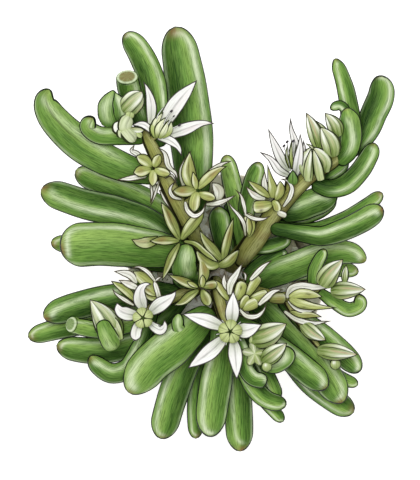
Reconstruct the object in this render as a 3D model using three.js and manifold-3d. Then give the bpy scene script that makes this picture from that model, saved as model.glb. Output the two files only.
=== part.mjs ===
// A small potted sedum in flower: a tuft of seven leafy shoots with sausage-shaped leaves, white star
// flowers, pointed buds and star-shaped fruits, in a plain pale clay pot.
// Millimetres, +Z up. The origin is the middle of the pot's foot.
// Seen from above, +Y is away from the viewer.

import * as THREE from 'three';
import { mergeVertices } from 'three/addons/utils/BufferGeometryUtils.js';
import Module from 'manifold-3d';

const wasm = await Module();
wasm.setup();

// Pot: outer sizes of a plain one-inch clay pot with a thick rim
const POT_HEIGHT = 22;
const POT_RIM_RADIUS = 12.4;
const POT_RIM_DEPTH = 4.6;
const POT_NECK_RADIUS = 11.2;
const POT_FOOT_RADIUS = 8.4;
const POT_WALL = 1.5;
const POT_FLOOR = 1.8;
const POT_EDGE = 0.4;
const POT_SEGMENTS = 36;

// Soil: a filling with pale grit half sunk in its top
const SOIL_TOP = 20.3;
const SOIL_CROWN = 0.35;
const SOIL_INSET = 0.9;
const SOIL_SHOULDER = { width: 0.4, height: 0.3 };
const SOIL_FLAT_SHARE = 0.6;
const SOIL_SEGMENTS = 24;
const GRIT_COUNT = 12;
const GRIT_SIZE = [0.45, 0.95];
const GRIT_RING = [5.6, 9.0];
const GRIT_RISE = 0.05;
// Uneven steps from one grain to the next, so that no two lie alike
const GRIT_STEP = { along: 0.618, around: 2.4, size: 0.37, tip: 1.1, turn: 0.7 };
// Hole in the soil for each stem
const STEM_HOLE = { radius: 1.3, depth: 8, sides: 8 };

// Shared fits
const GAP = 0.3;
const TINY = 1e-6;
const FUSE_TOLERANCE = 0.02;
const STEM_FOOT = 17.6;
const BLADE = 0.62;
const SLIM_LEAF = 2.8;
const POD_OVERLAP = 0.4;
const POD_RISE = 0.3;
const BUD_RISE = 0.2;
// How far the pods in an open flower stand above its petals' roots
const CARPEL_RISE = 1.1;
// Disc that joins a flower's petals at their roots
const HUB = { radius: 0.85, flat: 0.4, sides: 8, rings: 4 };
const TWIG = { sides: 5, rings: 5 };

// A direction that no stem or pod runs along, to turn their sections from
const STEM_UP = [0.31, 0.2, 0.93];
const POD_UP = [0.6, 0.1, 0.79];

// Colours and finishes
const FINISH = {
  clay: { color: 0xe6dccb, roughness: 0.85 },
  grit: { color: 0xd8d2c2, roughness: 0.95 },
  leaf: { color: 0x5f8a3c, roughness: 0.45 },
  fruit: { color: 0xa9ad62, roughness: 0.6 },
  petal: { color: 0xf0efe9, roughness: 0.55 },
  carpel: { color: 0xb2bd72, roughness: 0.5 },
  bud: { color: 0xd9dfc0, roughness: 0.55 },
};

const plant = new THREE.Group();
plant.name = 'potted_sedum';

// Closed geometry to solid, and back to a named mesh

function solidOf(geometry) {
  const bare = geometry.clone();
  bare.deleteAttribute('normal');
  bare.deleteAttribute('uv');
  const merged = mergeVertices(bare);
  return new wasm.Manifold(new wasm.Mesh({
    numProp: 3,
    tolerance: FUSE_TOLERANCE,
    vertProperties: new Float32Array(merged.attributes.position.array),
    triVerts: new Uint32Array(merged.index.array),
  }));
}

function joined(solids) {
  return solids.reduce((whole, next) => whole.add(next));
}

function place(name, solid, finish) {
  const { vertProperties, triVerts } = solid.getMesh();
  const geometry = new THREE.BufferGeometry();
  geometry.setAttribute('position', new THREE.BufferAttribute(vertProperties, 3));
  geometry.setIndex(new THREE.BufferAttribute(triVerts, 1));
  geometry.computeVertexNormals();
  const material = new THREE.MeshStandardMaterial({ metalness: 0, ...FINISH[finish] });
  const mesh = new THREE.Mesh(geometry, material);
  mesh.name = name;
  plant.add(mesh);
}

// How full a leaf, stem or petal is at the share t of its length, 0 to 1

function fullness(t, length, form) {
  const { width, root = 0.6, peak = 0.55, taper = 0.18 } = form;
  const rising = root + (1 - root) * Math.sin(Math.min(t / peak, 1) * Math.PI / 2);
  const falling = 1 - taper * Math.max((t - peak) / (1 - peak), 0) ** 2;
  const tipCap = form.blunt ? 0.06 : Math.min(0.45, 0.9 * width / length);
  const rootCap = Math.min(0.12, 0.3 * width / length);
  const intoTip = Math.max((t - 1 + tipCap) / tipCap, 0);
  const intoRoot = Math.max(1 - t / rootCap, 0);
  const roundedTip = Math.sqrt(Math.max(1 - intoTip ** 2, 0));
  const roundedRoot = Math.sqrt(Math.max(1 - intoRoot ** 2, 0));
  return rising * falling * roundedTip * roundedRoot;
}

// A pointed blade: broad at its middle, drawn to a point

function pointedFullness(t, length, form) {
  const { root = 0.5, peak = 0.4 } = form;
  if (t < peak) {
    return root + (1 - root) * Math.sin((t / peak) * Math.PI / 2);
  }
  return Math.max(Math.cos(((t - peak) / (1 - peak)) * Math.PI / 2), 0) ** 0.8;
}

// A sphere drawn out along a midline: every leaf, stem, petal, pod and bud is one of these.
// flat is its thickness as a share of its width.

function drawnOut(points, form) {
  const knots = points.map((point) => new THREE.Vector3(...point));
  const midline = new THREE.CatmullRomCurve3(knots, false, 'centripetal');
  const length = midline.getLength();
  const profile = form.pointed ? pointedFullness : fullness;
  const sphere = new THREE.SphereGeometry(1, form.sides ?? 8, form.rings ?? 8);
  sphere.deleteAttribute('normal');
  sphere.deleteAttribute('uv');
  const body = mergeVertices(sphere);
  const spots = body.attributes.position;
  const up = new THREE.Vector3(...(form.up ?? [0, 0, 1]));
  const halfWidth = form.width / 2;
  const halfHeight = Math.max(halfWidth * (form.flat ?? 0.8), BLADE / 2);
  const spot = new THREE.Vector3();
  for (let i = 0; i < spots.count; i += 1) {
    spot.fromBufferAttribute(spots, i);
    const ring = Math.sqrt(Math.max(1 - spot.y ** 2, 0));
    const t = (1 - spot.y) / 2;
    const full = ring > TINY ? profile(t, length, form) / ring : 0;
    const tall = form.pointed && ring > TINY ? Math.min(1, 1.8 * full * ring) / ring : full;
    const forward = midline.getTangentAt(t);
    const side = new THREE.Vector3().crossVectors(up, forward).normalize();
    const over = new THREE.Vector3().crossVectors(forward, side);
    const middle = midline.getPointAt(t);
    middle.addScaledVector(side, spot.x * full * halfWidth);
    middle.addScaledVector(over, spot.z * tall * halfHeight);
    spots.setXYZ(i, middle.x, middle.y, middle.z);
  }
  return solidOf(body);
}

// A stem: near-round, thick at the foot, thin at the end

function stem(points, thick, thin, form = {}) {
  const taper = 1 - thin / thick;
  return drawnOut(points,
    { width: thick, flat: 1, root: 1, peak: 0.05, taper, sides: 6, rings: 8, up: STEM_UP, ...form });
}

function leaf(points, width, form = {}) {
  const slim = width < SLIM_LEAF;
  return drawnOut(points, { width, sides: slim ? 6 : 8, rings: slim ? 6 : 7, ...form });
}

// Pot

function pot() {
  const neckHeight = POT_HEIGHT - POT_RIM_DEPTH;
  const outline = [
    [0, 0],
    [POT_FOOT_RADIUS - POT_EDGE, 0],
    [POT_FOOT_RADIUS, POT_EDGE],
    [POT_NECK_RADIUS, neckHeight],
    [POT_RIM_RADIUS - POT_EDGE, neckHeight],
    [POT_RIM_RADIUS, neckHeight + POT_EDGE],
    [POT_RIM_RADIUS, POT_HEIGHT - POT_EDGE],
    [POT_RIM_RADIUS - POT_EDGE, POT_HEIGHT],
    [POT_RIM_RADIUS - POT_WALL, POT_HEIGHT],
    [POT_RIM_RADIUS - POT_WALL - POT_EDGE, POT_HEIGHT - POT_EDGE],
    [POT_NECK_RADIUS - POT_WALL, neckHeight],
    [POT_FOOT_RADIUS - POT_WALL + 0.2, POT_FLOOR],
    [0, POT_FLOOR],
  ].map(([r, z]) => new THREE.Vector2(r, z));
  const turned = new THREE.LatheGeometry(outline, POT_SEGMENTS);
  turned.rotateX(Math.PI / 2);
  return solidOf(turned);
}

// Shoots. Every row is a midline from its root outwards.

const STEMS = {
  upper_left: [[-2.4, 1.4, STEM_FOOT], [-2.5, 1.6, 23], [-4.2, 4.7, 29.3], [-6.1, 8.4, 32.5],
    [-7.8, 11.9, 33.8], [-9.1, 15.1, 34.1], [-10.5, 17.8, 34.1]],
  upper_right: [[0.9, 1.3, STEM_FOOT], [0.9, 1.4, 22], [2.3, 2.6, 28], [3.9, 4.7, 31], [6.1, 7.8, 33],
    [8.3, 10.2, 34], [10.6, 12.3, 34.5], [13.1, 13.8, 34.6], [14.4, 15.1, 34.4]],
  left: [[-4.9, 0.5, STEM_FOOT], [-4.9, 0.5, 22], [-4.9, 0.3, 27], [-5.0, 0, 31]],
  lower_left: [[-4.2, -2.3, STEM_FOOT], [-4.2, -2.3, 22], [-5.1, -2.5, 28], [-7.3, -3.4, 30.5],
    [-9.5, -4.5, 31.6], [-10.4, -5.1, 31.7]],
  front: [[-1.4, -1.4, STEM_FOOT], [-1.4, -1.4, 28], [-1.2, -2.6, 32.2], [-0.7, -4.4, 33.6],
    [0.2, -6.7, 34.5]],
  front_low: [[-1.1, -4.4, STEM_FOOT], [-1.1, -4.4, 22], [-1.3, -4.8, 27], [-1.6, -5, 29.4]],
  right: [[1.6, -1.7, STEM_FOOT], [1.6, -1.7, 22], [2.5, -2.2, 28.6], [4.4, -2.6, 31], [6.5, -3.1, 32],
    [9.1, -2.6, 32.6], [11.8, -2, 32.9]],
};

function upperLeftShoot() {
  return joined([
    stem(STEMS.upper_left, 2.3, 1.3),
    leaf([[-4.4, 6.4, 29.6], [-4.2, 11.6, 30.3], [-4.4, 16.6, 30.6], [-5, 22.6, 30.8], [-5.9, 27.9, 31],
      [-6.5, 30.8, 31.3]], 5.4, { peak: 0.45, root: 0.5, rings: 9, sides: 10 }),
    leaf([[-8.4, 15.6, 33.6], [-8.8, 20.6, 33.3], [-9.5, 24.4, 33], [-11, 27.7, 32.5],
      [-12.7, 30, 31.8]], 3.4),
    leaf([[-10.2, 17.7, 33.5], [-11.6, 20.9, 33.6], [-12.4, 23.1, 34], [-12.6, 24.7, 34.8]], 3.1,
      { peak: 0.75, blunt: true }),
    leaf([[-8.2, 12.1, 33.2], [-12.8, 13.4, 32.2], [-16.5, 15.4, 31.8], [-19.6, 17.8, 31.5],
      [-21.9, 20, 31.7], [-22.6, 21.7, 32.4], [-22.1, 23, 33.3]], 4.4,
      { peak: 0.5, root: 0.55, taper: 0.45, flat: 0.6, rings: 10 }),
    leaf([[-10.1, 16.7, 33.9], [-13.6, 17.1, 33.9], [-16, 17.2, 34.2], [-17.3, 18.2, 34.8],
      [-16.7, 19.5, 35.6]], 2.4, { peak: 0.5, rings: 8 }),
    leaf([[-10.9, 18.3, 34.4], [-12.9, 19.6, 35.1], [-14.3, 20.8, 36], [-14.9, 21.7, 36.9]], 3,
      { peak: 0.6, root: 0.5 }),
    leaf([[-2.9, 2.6, 25.2], [-5.6, 6, 26.2], [-9.6, 8.6, 26.9], [-13.4, 10.4, 27.2],
      [-16.5, 11.6, 27.2], [-19, 12.8, 26.8]], 3.4, { root: 0.5 }),
    stem([[-6, 8.1, 32.3], [-4.8, 9, 33.1], [-3.8, 9.9, 33.8]], 0.9, 0.9, TWIG),
    stem([[-4.9, 6, 30.8], [-5.4, 5.2, 32.8], [-5.7, 4.6, 34.9]], 0.9, 0.8, TWIG),
    stem([[-9.7, 16.3, 34.1], [-9, 17.2, 34.6], [-8.5, 18, 35]], 1, 1.2, TWIG),
  ]);
}

function upperRightShoot() {
  return joined([
    stem(STEMS.upper_right, 2.5, 1.4),
    leaf([[4.9, 6, 32], [7.3, 5.4, 32.6], [9.5, 4.9, 33], [11.9, 4.6, 33], [14.6, 5.4, 32.9],
      [17.1, 6.6, 32.6], [19.5, 8.2, 32]], 2.9, { peak: 0.8, root: 0.55, taper: 0.1, rings: 9 }),
    leaf([[4.9, 6.4, 31.4], [10.4, 5.7, 30], [14.8, 7.1, 30], [17.4, 8.9, 30.1], [19.3, 10.1, 30.1]],
      2.1, { peak: 0.7 }),
    leaf([[6.4, 7.5, 31.8], [8.6, 8, 31.9], [11.1, 8.9, 32.1], [13.8, 9.9, 31.9]], 3.6,
      { flat: 0.6, root: 0.7 }),
    leaf([[5.6, 7, 30.8], [9.8, 7.2, 29.8], [11.9, 8, 29.7], [13.6, 9.4, 29.6]], 2.2, { root: 0.7 }),
    leaf([[10.6, 11.3, 34], [12.9, 10.5, 34.1], [14.8, 11, 34.3], [16.5, 12.6, 34.4],
      [17.7, 14.5, 34.5], [18.5, 16.2, 34.5]], 2.5, { root: 0.75, rings: 8 }),
    leaf([[13.7, 13.6, 34.4], [15.2, 15.4, 34.9], [15.4, 18.1, 35.3], [14.9, 20.6, 35.3]], 2.7,
      { root: 0.65 }),
    leaf([[14.4, 15.3, 34], [15.4, 18.5, 33.2], [15, 22.2, 32.7], [14.3, 24.7, 32.2],
      [13.4, 26.7, 31.6]], 2.4, { peak: 0.4, root: 0.7 }),
    leaf([[14.6, 14.5, 33.9], [17, 16.9, 32.9], [18.3, 19.8, 32.6], [19.3, 22.3, 32.4],
      [19.1, 24.6, 31.8]], 3.5, { peak: 0.7, root: 0.5, flat: 0.7 }),
    leaf([[15, 18.3, 34.4], [14.9, 20.1, 34.2], [14.1, 20.9, 34.2], [12.9, 20.7, 34.1]], 1,
      { root: 0.8, rings: 5 }),
    leaf([[3.1, 4.2, 29], [2.5, 7.3, 29.8], [3.1, 10.6, 30.2], [4.1, 13.9, 30]], 2.5,
      { peak: 0.65, root: 0.5 }),
    leaf([[2, 2.4, 26.6], [1.5, 7.2, 28], [0.6, 11.4, 28.8], [-0.1, 14.8, 29]], 2.5, { root: 0.5 }),
    leaf([[1, 1.8, 24], [-0.5, 4.4, 25.6], [-1.8, 8, 26]], 2.3, { rings: 6 }),
    leaf([[1.3, 2, 23.4], [0.8, 5.1, 24.2], [0.2, 8.9, 24.6]], 2, { rings: 6 }),
    leaf([[2.7, 2.9, 28], [5.1, 3.3, 28.4], [8.1, 4.2, 28.6]], 2, { root: 0.7, rings: 6 }),
    leaf([[1.6, 1.7, 25], [4.2, 2.2, 25.9], [7.2, 3, 26.2]], 1.8, { root: 0.7, rings: 6 }),
    stem([[1.5, 1.9, 25.6], [0.3, 1.7, 31], [-0.5, 1.6, 33.55]], 0.9, 0.8, TWIG),
    stem([[4, 5, 31.4], [3.2, 5.8, 32.8], [2.9, 6.2, 34.2]], 0.8, 0.8, TWIG),
    stem([[7.4, 9.2, 33.6], [7.8, 11, 34.6], [8, 12.1, 35.2]], 1.1, 1.5, TWIG),
  ]);
}

function leftShoot() {
  return joined([
    stem(STEMS.left, 1.6, 1.3),
    leaf([[-4.9, 0.9, 27.6], [-6.5, 2.4, 30], [-10.9, 3.2, 31.6], [-15.3, 3.6, 32], [-18.4, 3.5, 31.8],
      [-20.9, 3.3, 31.4]], 5.2, { peak: 0.6, root: 0.45, rings: 9, sides: 10 }),
    leaf([[-5, 0.9, 25.8], [-6.9, 4, 28.4], [-9.6, 6.2, 29.5], [-13.4, 7.6, 29.8], [-17.8, 8.6, 29.6],
      [-21.1, 9.7, 29.2], [-23.3, 10.4, 28.8]], 3.9, { peak: 0.62, root: 0.4, rings: 8 }),
    leaf([[-5, 0.5, 23.6], [-10.3, 1.4, 25.4], [-15.9, 2.6, 26], [-19.6, 3.5, 26.2],
      [-22.1, 3.8, 26.2]], 2.5),
    leaf([[-5.1, 0.1, 29.6], [-5.3, 1.1, 32.6], [-4.7, 3.4, 33.9]], 3.3,
      { peak: 0.5, flat: 0.5, root: 0.55, rings: 6 }),
  ]);
}

function lowerLeftShoot() {
  return joined([
    stem(STEMS.lower_left, 1.8, 1.3),
    leaf([[-5.4, -2.6, 27.2], [-10.3, -2.4, 27.8], [-14, -3.1, 28], [-17.8, -3.9, 27.9],
      [-20.9, -4.8, 27.6], [-23, -5.6, 27.2]], 3.6, { root: 0.5 }),
    leaf([[-4.6, -2.7, 23.2], [-10.9, -4.9, 24.1], [-15.9, -6.1, 24.2], [-20.9, -7, 24],
      [-25, -8.1, 23.6]], 2.7, { peak: 0.7, root: 0.5 }),
    leaf([[-8.2, -4, 30.6], [-11.4, -6.2, 28.9], [-16.1, -7.1, 28.8], [-18.1, -6.9, 29],
      [-19.7, -6.5, 29.5]], 2.7, { blunt: true, root: 0.5 }),
    leaf([[-5, -3, 23.8], [-9.6, -7.7, 24.8], [-12.8, -9.3, 25.1], [-15.9, -9.8, 25.4],
      [-19, -9.6, 25.3], [-21.4, -9.1, 25]], 3.3, { peak: 0.72, root: 0.4 }),
    leaf([[-9.7, -4.9, 31.6], [-11.4, -8, 32.4], [-13.6, -8.7, 33.5], [-15.1, -7.4, 34],
      [-15.7, -5.9, 34.4]], 2.5, { flat: 0.5 }),
    leaf([[-9, -4.4, 31.2], [-10.9, -9.3, 28.8], [-12.4, -12, 28], [-14.4, -12.6, 27.9],
      [-15.9, -11.8, 28.1], [-17.2, -10.4, 28.4]], 2.6, { peak: 0.66, root: 0.5, rings: 9 }),
    stem([[-7.9, -3.7, 30.9], [-8.4, -3, 31.6], [-8.9, -2.4, 32]], 0.8, 0.8, TWIG),
  ]);
}

function lowFrontShoot() {
  return joined([
    stem(STEMS.front_low, 1.7, 1.5),
    leaf([[-1.7, -5, 28.6], [-3.4, -6.1, 30.2], [-6.5, -8.9, 31.2], [-9.6, -11.5, 31.4],
      [-12.3, -15, 30.6]], 5, { peak: 0.5, root: 0.5, sides: 10 }),
    leaf([[-5.3, -7.9, 32], [-6.1, -6.6, 33.3], [-6, -5, 33.8]], 1.5, { root: 0.7, rings: 5 }),
    leaf([[-1.4, -4.8, 25], [-4, -9, 26.2], [-5.8, -12.8, 26.4], [-7.1, -16.5, 25.8],
      [-8.3, -20.9, 24.6]], 3.9, { peak: 0.6, root: 0.4 }),
    leaf([[-1.2, -4.8, 22.9], [-2.7, -9.6, 23.6], [-3.6, -13.4, 23.7], [-3.9, -17.1, 23.4],
      [-3.9, -20.9, 23]], 2.3),
    leaf([[-1.5, -5, 27.6], [-0.7, -9, 28.8], [-1.4, -14, 28.9], [-1.9, -17.4, 28.2],
      [-2.1, -20.4, 27]], 4, { peak: 0.6, root: 0.4 }),
    leaf([[-1.1, -4.8, 24], [0.6, -9, 24.9], [1.2, -13.4, 25], [1.5, -17.8, 24.5], [1.7, -22.5, 23.5]],
      3.6, { peak: 0.68, root: 0.4 }),
  ]);
}

function frontShoot() {
  return joined([
    stem(STEMS.front, 1.8, 1.5),
    leaf([[0.3, -6.8, 34], [1.5, -8.2, 33.7], [2.1, -10, 33.4], [2.3, -11.9, 33.2], [3.3, -13.2, 33],
      [5, -13.8, 32.8]], 2.1, { peak: 0.6, rings: 8 }),
    leaf([[0.1, -6.3, 33.9], [1.4, -8.6, 32.2], [2.2, -11.5, 31], [3.5, -14.4, 30.4], [5.1, -15.9, 30],
      [7.5, -16.5, 29.4]], 2.5, { peak: 0.6, root: 0.5 }),
    leaf([[0.2, -6.4, 33.7], [2, -10, 29.8], [4.2, -15.2, 28], [7.1, -18.7, 27]], 1.9),
    leaf([[0.3, -6.4, 33.8], [3.6, -10.3, 30.6], [5.4, -13.4, 29.6], [6.5, -15.9, 28.8]], 2),
    leaf([[-0.2, -5.4, 33.6], [2, -6.5, 32.6], [4.4, -7.9, 31.9], [7.9, -10.6, 31.6],
      [10.6, -12.8, 31.1], [12.6, -14.4, 30.4]], 3.4, { peak: 0.72, root: 0.4 }),
    leaf([[2.1, -10.4, 33.4], [3.8, -11.3, 33.5], [5.6, -11.8, 33.6], [7.4, -11.3, 34],
      [7.9, -9.6, 34.7]], 1.9, { peak: 0.55 }),
    stem([[-1.4, -1.5, 28.8], [-2.5, -1.5, 31.4], [-3.1, -1.5, 33.45]], 0.9, 0.8, TWIG),
  ]);
}

function rightShoot() {
  return joined([
    stem(STEMS.right, 1.9, 1.1),
    leaf([[2.4, -2.2, 27.2], [5.6, -5.1, 27.9], [8.8, -8.4, 28.1], [11.9, -12.1, 27.8],
      [14.6, -16.3, 26.6]], 4.2, { peak: 0.5, root: 0.45 }),
    leaf([[1.9, -2, 23.6], [6.6, -8.4, 24.4], [10.6, -13.4, 24.4], [13.5, -15.9, 24],
      [16, -17.5, 23.4]], 3, { peak: 0.7, root: 0.45 }),
    leaf([[6.5, -3.2, 31.6], [9.5, -5.9, 30.4], [12.5, -8.4, 29.9], [15, -10.6, 29.2],
      [16.7, -12.4, 28.4]], 3.1, { peak: 0.65, root: 0.5 }),
    leaf([[2.2, -2.3, 25.4], [7.6, -7.6, 26.2], [13.9, -12.9, 26.2], [16.5, -14.1, 25.8]], 1.7,
      { peak: 0.8 }),
    leaf([[2.4, -1.8, 26.8], [5.4, -0.3, 27.2], [8.9, 1, 27.5], [12.3, 2.3, 27.8], [15.4, 2.5, 27.7],
      [17.5, 1.5, 27.2]], 3.7, { peak: 0.35, root: 0.6, taper: 0.4, rings: 9 }),
    leaf([[2, -1.6, 24.2], [9.1, -0.1, 24.4], [13.5, 0.5, 24.8], [16.6, 0.1, 24.6]], 2.1,
      { peak: 0.7 }),
    leaf([[10.6, -2.2, 32.6], [11, 0.5, 32.9], [12.3, 3, 33.3]], 1.7, { peak: 0.5, rings: 6 }),
    leaf([[11.2, -2.1, 32.7], [13.3, -3.6, 31.8], [15.3, -4.6, 31.6], [16.6, -4, 31.8],
      [16.4, -2.6, 32.3]], 1.9, { peak: 0.6, rings: 8 }),
    stem([[3.2, -2.4, 29.8], [3, -2.9, 31.6], [2.9, -3, 33.3]], 0.9, 0.9, TWIG),
    stem([[7.2, -3.2, 32.2], [8.3, -5.2, 32.2], [9.2, -6.6, 31.9], [11.6, -9.4, 31.2]], 0.8, 0.7, TWIG),
  ]);
}

// Star fruits: ripe pods in a star, and dried petals below or beside them

function pod([x, y], [tipX, tipY], height, width, lift = 0) {
  const reach = Math.hypot(tipX - x, tipY - y);
  const root = [x - ((tipX - x) / reach) * POD_OVERLAP, y - ((tipY - y) / reach) * POD_OVERLAP, height];
  const middle = [x + (tipX - x) * 0.5, y + (tipY - y) * 0.5, height + POD_RISE + lift * 0.4];
  const tip = [tipX, tipY, height + lift];
  return drawnOut([root, middle, tip],
    { width, flat: 0.6, pointed: true, root: 0.5, peak: 0.35, sides: 4, rings: 4 });
}

function star(centre, height, width, tips) {
  return joined(tips.map(([x, y, lift = 0, own = width]) => pod(centre, [x, y], height, own, lift)));
}

function driedPetal(points, width) {
  return drawnOut(points, { width, flat: 0.3, pointed: true, root: 0.7, peak: 0.5, sides: 4, rings: 4 });
}

// Flowers: five boat-shaped petals, and five pods in the middle

function petal([x, y, z], [tipX, tipY, tipZ], width, bow = 0.5) {
  const root = [x + (tipX - x) * 0.06, y + (tipY - y) * 0.06, z];
  const middle = [x + (tipX - x) * 0.5, y + (tipY - y) * 0.5, z + (tipZ - z) * 0.5 + bow];
  return drawnOut([root, middle, [tipX, tipY, tipZ]],
    { width, flat: 0.3, pointed: true, root: 0.55, peak: 0.45, sides: 4, rings: 5 });
}

function corolla(centre, petals) {
  const hub = new THREE.SphereGeometry(HUB.radius, HUB.sides, HUB.rings);
  hub.rotateX(Math.PI / 2);
  hub.scale(1, 1, HUB.flat);
  hub.translate(...centre);
  return joined([solidOf(hub), ...petals.map(([tip, width, bow]) => petal(centre, tip, width, bow))]);
}

function carpels([x, y, z], length, width, count, spread, turn, lean = [0, 0]) {
  const pods = [];
  for (let i = 0; i < count; i += 1) {
    const angle = turn + (i / count) * Math.PI * 2;
    const out = [Math.cos(angle) * spread, Math.sin(angle) * spread];
    pods.push(drawnOut([
      [x + out[0] * 0.15, y + out[1] * 0.15, z],
      [x + out[0] * 0.8 + lean[0] * 0.4, y + out[1] * 0.8 + lean[1] * 0.4, z + length * 0.5],
      [x + out[0] * 1.5 + lean[0], y + out[1] * 1.5 + lean[1], z + length],
    ], { width, flat: 0.9, pointed: true, root: 0.6, peak: 0.4, sides: 5, rings: 4, up: POD_UP }));
  }
  return joined(pods);
}

function bud(base, tip, width, flat = 0.85) {
  const middle = base.map((value, axis) => (value + tip[axis]) / 2);
  middle[2] += BUD_RISE;
  return drawnOut([base, middle, tip],
    { width, flat, pointed: true, root: 0.45, peak: 0.38, sides: 7, rings: 6 });
}

const SHOOTS = {
  shoot_upper_left: upperLeftShoot(),
  shoot_upper_right: upperRightShoot(),
  shoot_left: leftShoot(),
  shoot_lower_left: lowerLeftShoot(),
  shoot_front_low: lowFrontShoot(),
  shoot_front: frontShoot(),
  shoot_right: rightShoot(),
};

// Soil, with a plain hole for each stem

function soil() {
  const reach = POT_RIM_RADIUS - POT_WALL - POT_EDGE - SOIL_INSET - GAP;
  const foot = POT_FLOOR + GAP;
  const footRadius = POT_FOOT_RADIUS - POT_WALL - GAP;
  const outline = [
    [0, foot],
    [footRadius, foot],
    [reach, POT_HEIGHT - POT_RIM_DEPTH],
    [reach, SOIL_TOP - SOIL_SHOULDER.height],
    [reach - SOIL_SHOULDER.width, SOIL_TOP],
    [reach * SOIL_FLAT_SHARE, SOIL_TOP + SOIL_CROWN],
    [0, SOIL_TOP + SOIL_CROWN],
  ].map(([r, z]) => new THREE.Vector2(r, z));
  const bed = new THREE.LatheGeometry(outline, SOIL_SEGMENTS);
  bed.rotateX(Math.PI / 2);
  let filling = solidOf(bed);
  for (let i = 0; i < GRIT_COUNT; i += 1) {
    const share = (i * GRIT_STEP.along) % 1;
    const angle = i * GRIT_STEP.around;
    const radius = GRIT_RING[0] + (GRIT_RING[1] - GRIT_RING[0]) * share;
    const size = GRIT_SIZE[0] + (GRIT_SIZE[1] - GRIT_SIZE[0]) * ((i * GRIT_STEP.size) % 1);
    const grain = new THREE.IcosahedronGeometry(size, 0);
    grain.rotateX(i * GRIT_STEP.tip);
    grain.rotateZ(i * GRIT_STEP.turn);
    grain.translate(Math.cos(angle) * radius, Math.sin(angle) * radius, SOIL_TOP + GRIT_RISE);
    filling = filling.add(solidOf(grain));
  }
  for (const [[x, y]] of Object.values(STEMS)) {
    const radius = STEM_HOLE.radius + GAP;
    const hole = new THREE.CylinderGeometry(radius, radius, STEM_HOLE.depth, STEM_HOLE.sides);
    hole.rotateX(Math.PI / 2);
    hole.translate(x, y, STEM_FOOT - GAP + STEM_HOLE.depth / 2);
    filling = filling.subtract(solidOf(hole));
  }
  return filling;
}

place('pot', pot(), 'clay');
place('soil', soil(), 'grit');
for (const [name, solid] of Object.entries(SHOOTS)) {
  place(name, solid, 'leaf');
}

place('fruit_left_high', star([-9.4, 12.9], 36.3, 1.3,
  [[-10.8, 14.5], [-11.4, 12.6], [-9.4, 11], [-7.5, 12.3], [-8.3, 14.6]]), 'fruit');
place('husk_left_high', joined([
  driedPetal([[-9.2, 12.9, 35.3], [-10.6, 14.4, 35.6], [-11.6, 15.6, 35.9]], 0.9),
  driedPetal([[-9.2, 12.9, 35.3], [-11.6, 12, 35.5], [-13.6, 11.6, 35.3]], 1),
  driedPetal([[-9.3, 13.1, 35.3], [-9.9, 10.6, 35.5], [-9.6, 8.4, 35.4]], 1),
  driedPetal([[-9.4, 12.9, 35.3], [-7.8, 13.2, 35.5], [-6.4, 12.6, 35.6]], 0.9),
]), 'petal');
place('fruit_high', star([-3.6, 10.1], 34.6, 1.5,
  [[-4.5, 14.7, 0.8, 1.6], [0.6, 14, 0.8], [1, 9.7, 0.6], [-3.9, 7.8], [-6.5, 10, 0.6]]), 'fruit');
place('husk_high', driedPetal([[-5, 8, 33.6], [-3.6, 7.4, 33.3], [-2.4, 8.6, 33.6]], 0.9), 'petal');
place('fruit_left', star([-5.7, 4.4], 35.4, 1.3,
  [[-8.2, 9.5, 0.3], [-2.9, 7.9, 0.3], [-11.7, 4.1, 0.3], [-7.7, -0.2, 0.2], [-1.5, 1.5, 0.3]]), 'fruit');
place('fruit_centre', star([-3.2, -1.5], 34, 1.3,
  [[-7.4, -0.4, 0.1], [-2.9, 1.7], [-1.1, -1.2, 0.1], [-6.4, -3.9, 0], [-2.1, -4.3, 0.9]]), 'fruit');
place('fruit_middle', star([-0.6, 1.6], 34.1, 1.2, [[1, 7], [-3.4, 4.9], [1.6, 2.9],
  [-0.2, 0.4]]), 'fruit');
place('fruit_right_high', star([5.6, 9.4], 35.6, 1.4,
  [[5, 13.4, 0.6], [2.7, 11.1, 0.3], [3.1, 8.4], [7.2, 11, 0.3], [6.2, 8]]), 'fruit');
place('husk_right_high', driedPetal([[6.6, 11.8, 37], [8.2, 10.3, 36.6], [7, 8.2, 36.6]], 1), 'petal');
place('fruit_right_low', star([2.7, 6.6], 34.9, 1.4,
  [[2.9, 4.6, 0, 1.5], [2.4, 8.2, 0, 1.3], [3.7, 6.3, 0, 1.2]]), 'fruit');
place('husk_right_low', joined([
  driedPetal([[0.3, 9, 36.6], [1.9, 6.8, 36.2], [2.4, 4.8, 36.3]], 1),
  driedPetal([[1.2, 10.2, 36.8], [2.1, 8.4, 36.4], [2, 6.4, 36.2]], 0.8),
  driedPetal([[1.6, 7.2, 36.4], [3.4, 7.6, 36.4], [5, 7.1, 36.3]], 0.8),
]), 'petal');
place('fruit_low_left', star([-9.4, -2], 32.8, 1.3,
  [[-12.6, -0.6, 0.2], [-12.4, -2.2], [-11.4, 0.2, 0.4], [-8.2, -2.6, 0, 1.5]]), 'fruit');
place('husk_low_left', joined([
  driedPetal([[-8.4, -2.2, 34.1], [-9.8, 0.3, 34.3], [-12, 0.3, 34.1]], 1),
  driedPetal([[-8.9, -1.4, 34.1], [-11.6, -0.6, 34], [-14, 0, 33.6]], 0.8),
  driedPetal([[-8.9, -1.6, 34.1], [-12, -1.8, 33.9], [-14.4, -1.2, 33.4]], 0.9),
]), 'petal');
place('fruit_low_right', star([2.9, -3], 34, 1.5,
  [[1, -1.6], [2.6, -0.6], [4.6, -1.9], [4.9, -3.5], [2.7, -4.9]]), 'fruit');
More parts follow.
